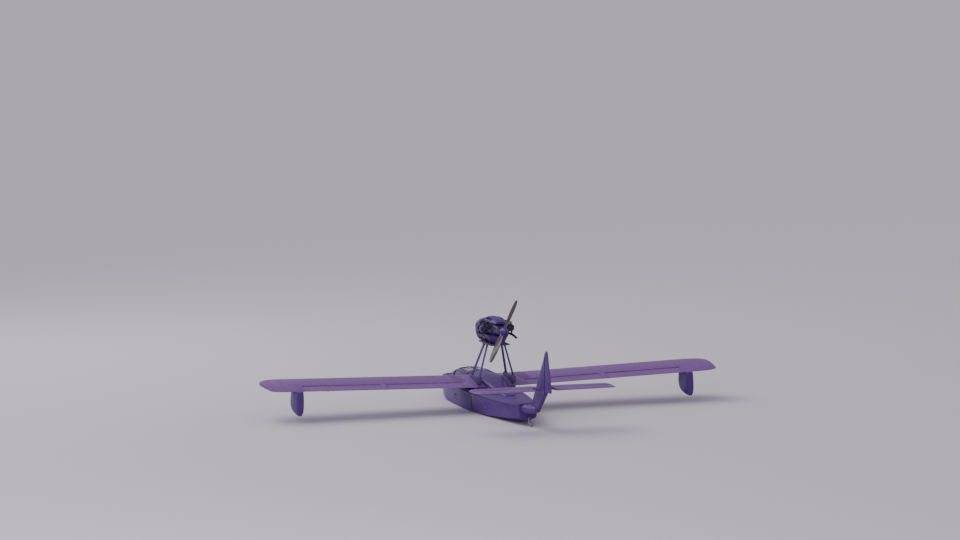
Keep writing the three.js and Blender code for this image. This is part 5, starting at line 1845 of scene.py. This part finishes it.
def grownOutline(corners, outBy):  # each side of a closed outline moved outwards by the same amount
    corners = [Vector(corner) for corner in corners]
    middle = sum(corners, Vector((0, 0))) / len(corners)
    lines = []
    for a, b in zip(corners, corners[1:] + corners[:1]):
        out = Vector((b.y - a.y, a.x - b.x)).normalized()
        if out.dot(a - middle) < 0:
            out = -out
        lines.append((a + out * outBy, b + out * outBy))
    grown = []
    for (a, b), (c, d) in zip(lines[-1:] + lines[:-1], lines):
        one, two = b - a, d - c
        grown.append(a + one * ((c - a).cross(two) / one.cross(two)))
    return grown


def alongOutline(corners):  # points at even steps round the outline
    grown = grownOutline(corners, canopyLook["sealOut"])
    points = []
    for a, b in zip(grown, grown[1:] + grown[:1]):
        count = max(2, round((b - a).length / canopyLook["sealPitch"]))
        points += [a + (b - a) * i / count for i in range(count)]
    return points


def onFrame(x, y, z=None):  # from above, or from the side at a height
    if z is None:
        return onSurface("canopy_frame", (x, y, 1.5), down)
    return onSurface("canopy_frame", (x, math.copysign(1.2, y), z), (0, -math.copysign(1, y), 0))


def buildCanopyTrim():
    look = canopyLook
    screws, studs, pins = [], [], []
    pinX, pinZ = look["pin"]
    for side, sign in sides.items():
        seals = []
        for name, corners in look["seals"].items():
            flank = name == "sideWindow"
            spots = alongOutline(corners)
            run = [onFrame(x, sign, w)[0] if flank else onFrame(x, sign * w)[0] for x, w in spots]
            seals.append(pipe(run, look["seal"], closed=True, fine=2, soft=False))
        assemble("windowSeals" + side, seals, "blackRubber", "canopy")

        x, z = look["latch"]
        pad = block((-0.030, -0.016, -0.001), (0.030, 0.016, 0.004), 0.0015)
        boss = drum((-0.012, 0, 0.0), (-0.012, 0, 0.014), 0.010, 0.0015, 20)
        arm = block((-0.018, -0.006, 0.012), (0.046, 0.006, 0.019), 0.0025)
        handle = putAt(weld("handle", [pad, boss, arm]), standOn(*onFrame(x, sign, z)))
        assemble("latch" + side, [handle], "bareMetal", "canopy")

        screws += [onFrame(x, sign, 0.522) for x in look["sillX"]]
        screws += [onFrame(x, sign * 0.29) for x in look["roofX"]]
        ends = sorted(sign * y for y in look["pinY"])
        pins.append(drum(*((pinX, y, pinZ) for y in ends), 0.0055, 0.0008, 16))
        for y in ends:
            pins.append(drum((pinX, y - 0.003, pinZ), (pinX, y + 0.003, pinZ), 0.0095, 0.001, 6))
    screws += [onFrame(x, 0.0) for x in look["ridgeX"]]
    for x in look["studX"]:
        z = onFrame(x, 0.0)[0].z
        studs.append(drum((x, 0, z - 0.002), (x, 0, z + 0.003), 0.012, 0.001, 20))
    assemble("roofStuds", studs, "bareMetal", "canopy")
    assemble("frameScrews", scatter(roundHead(0.0042, 0.0018), screws), "bareMetal", "canopy")
    assemble("canopyHingePins", pins, "bareMetal", "canopy")


buildCanopyTrim()
print("canopy is ready")
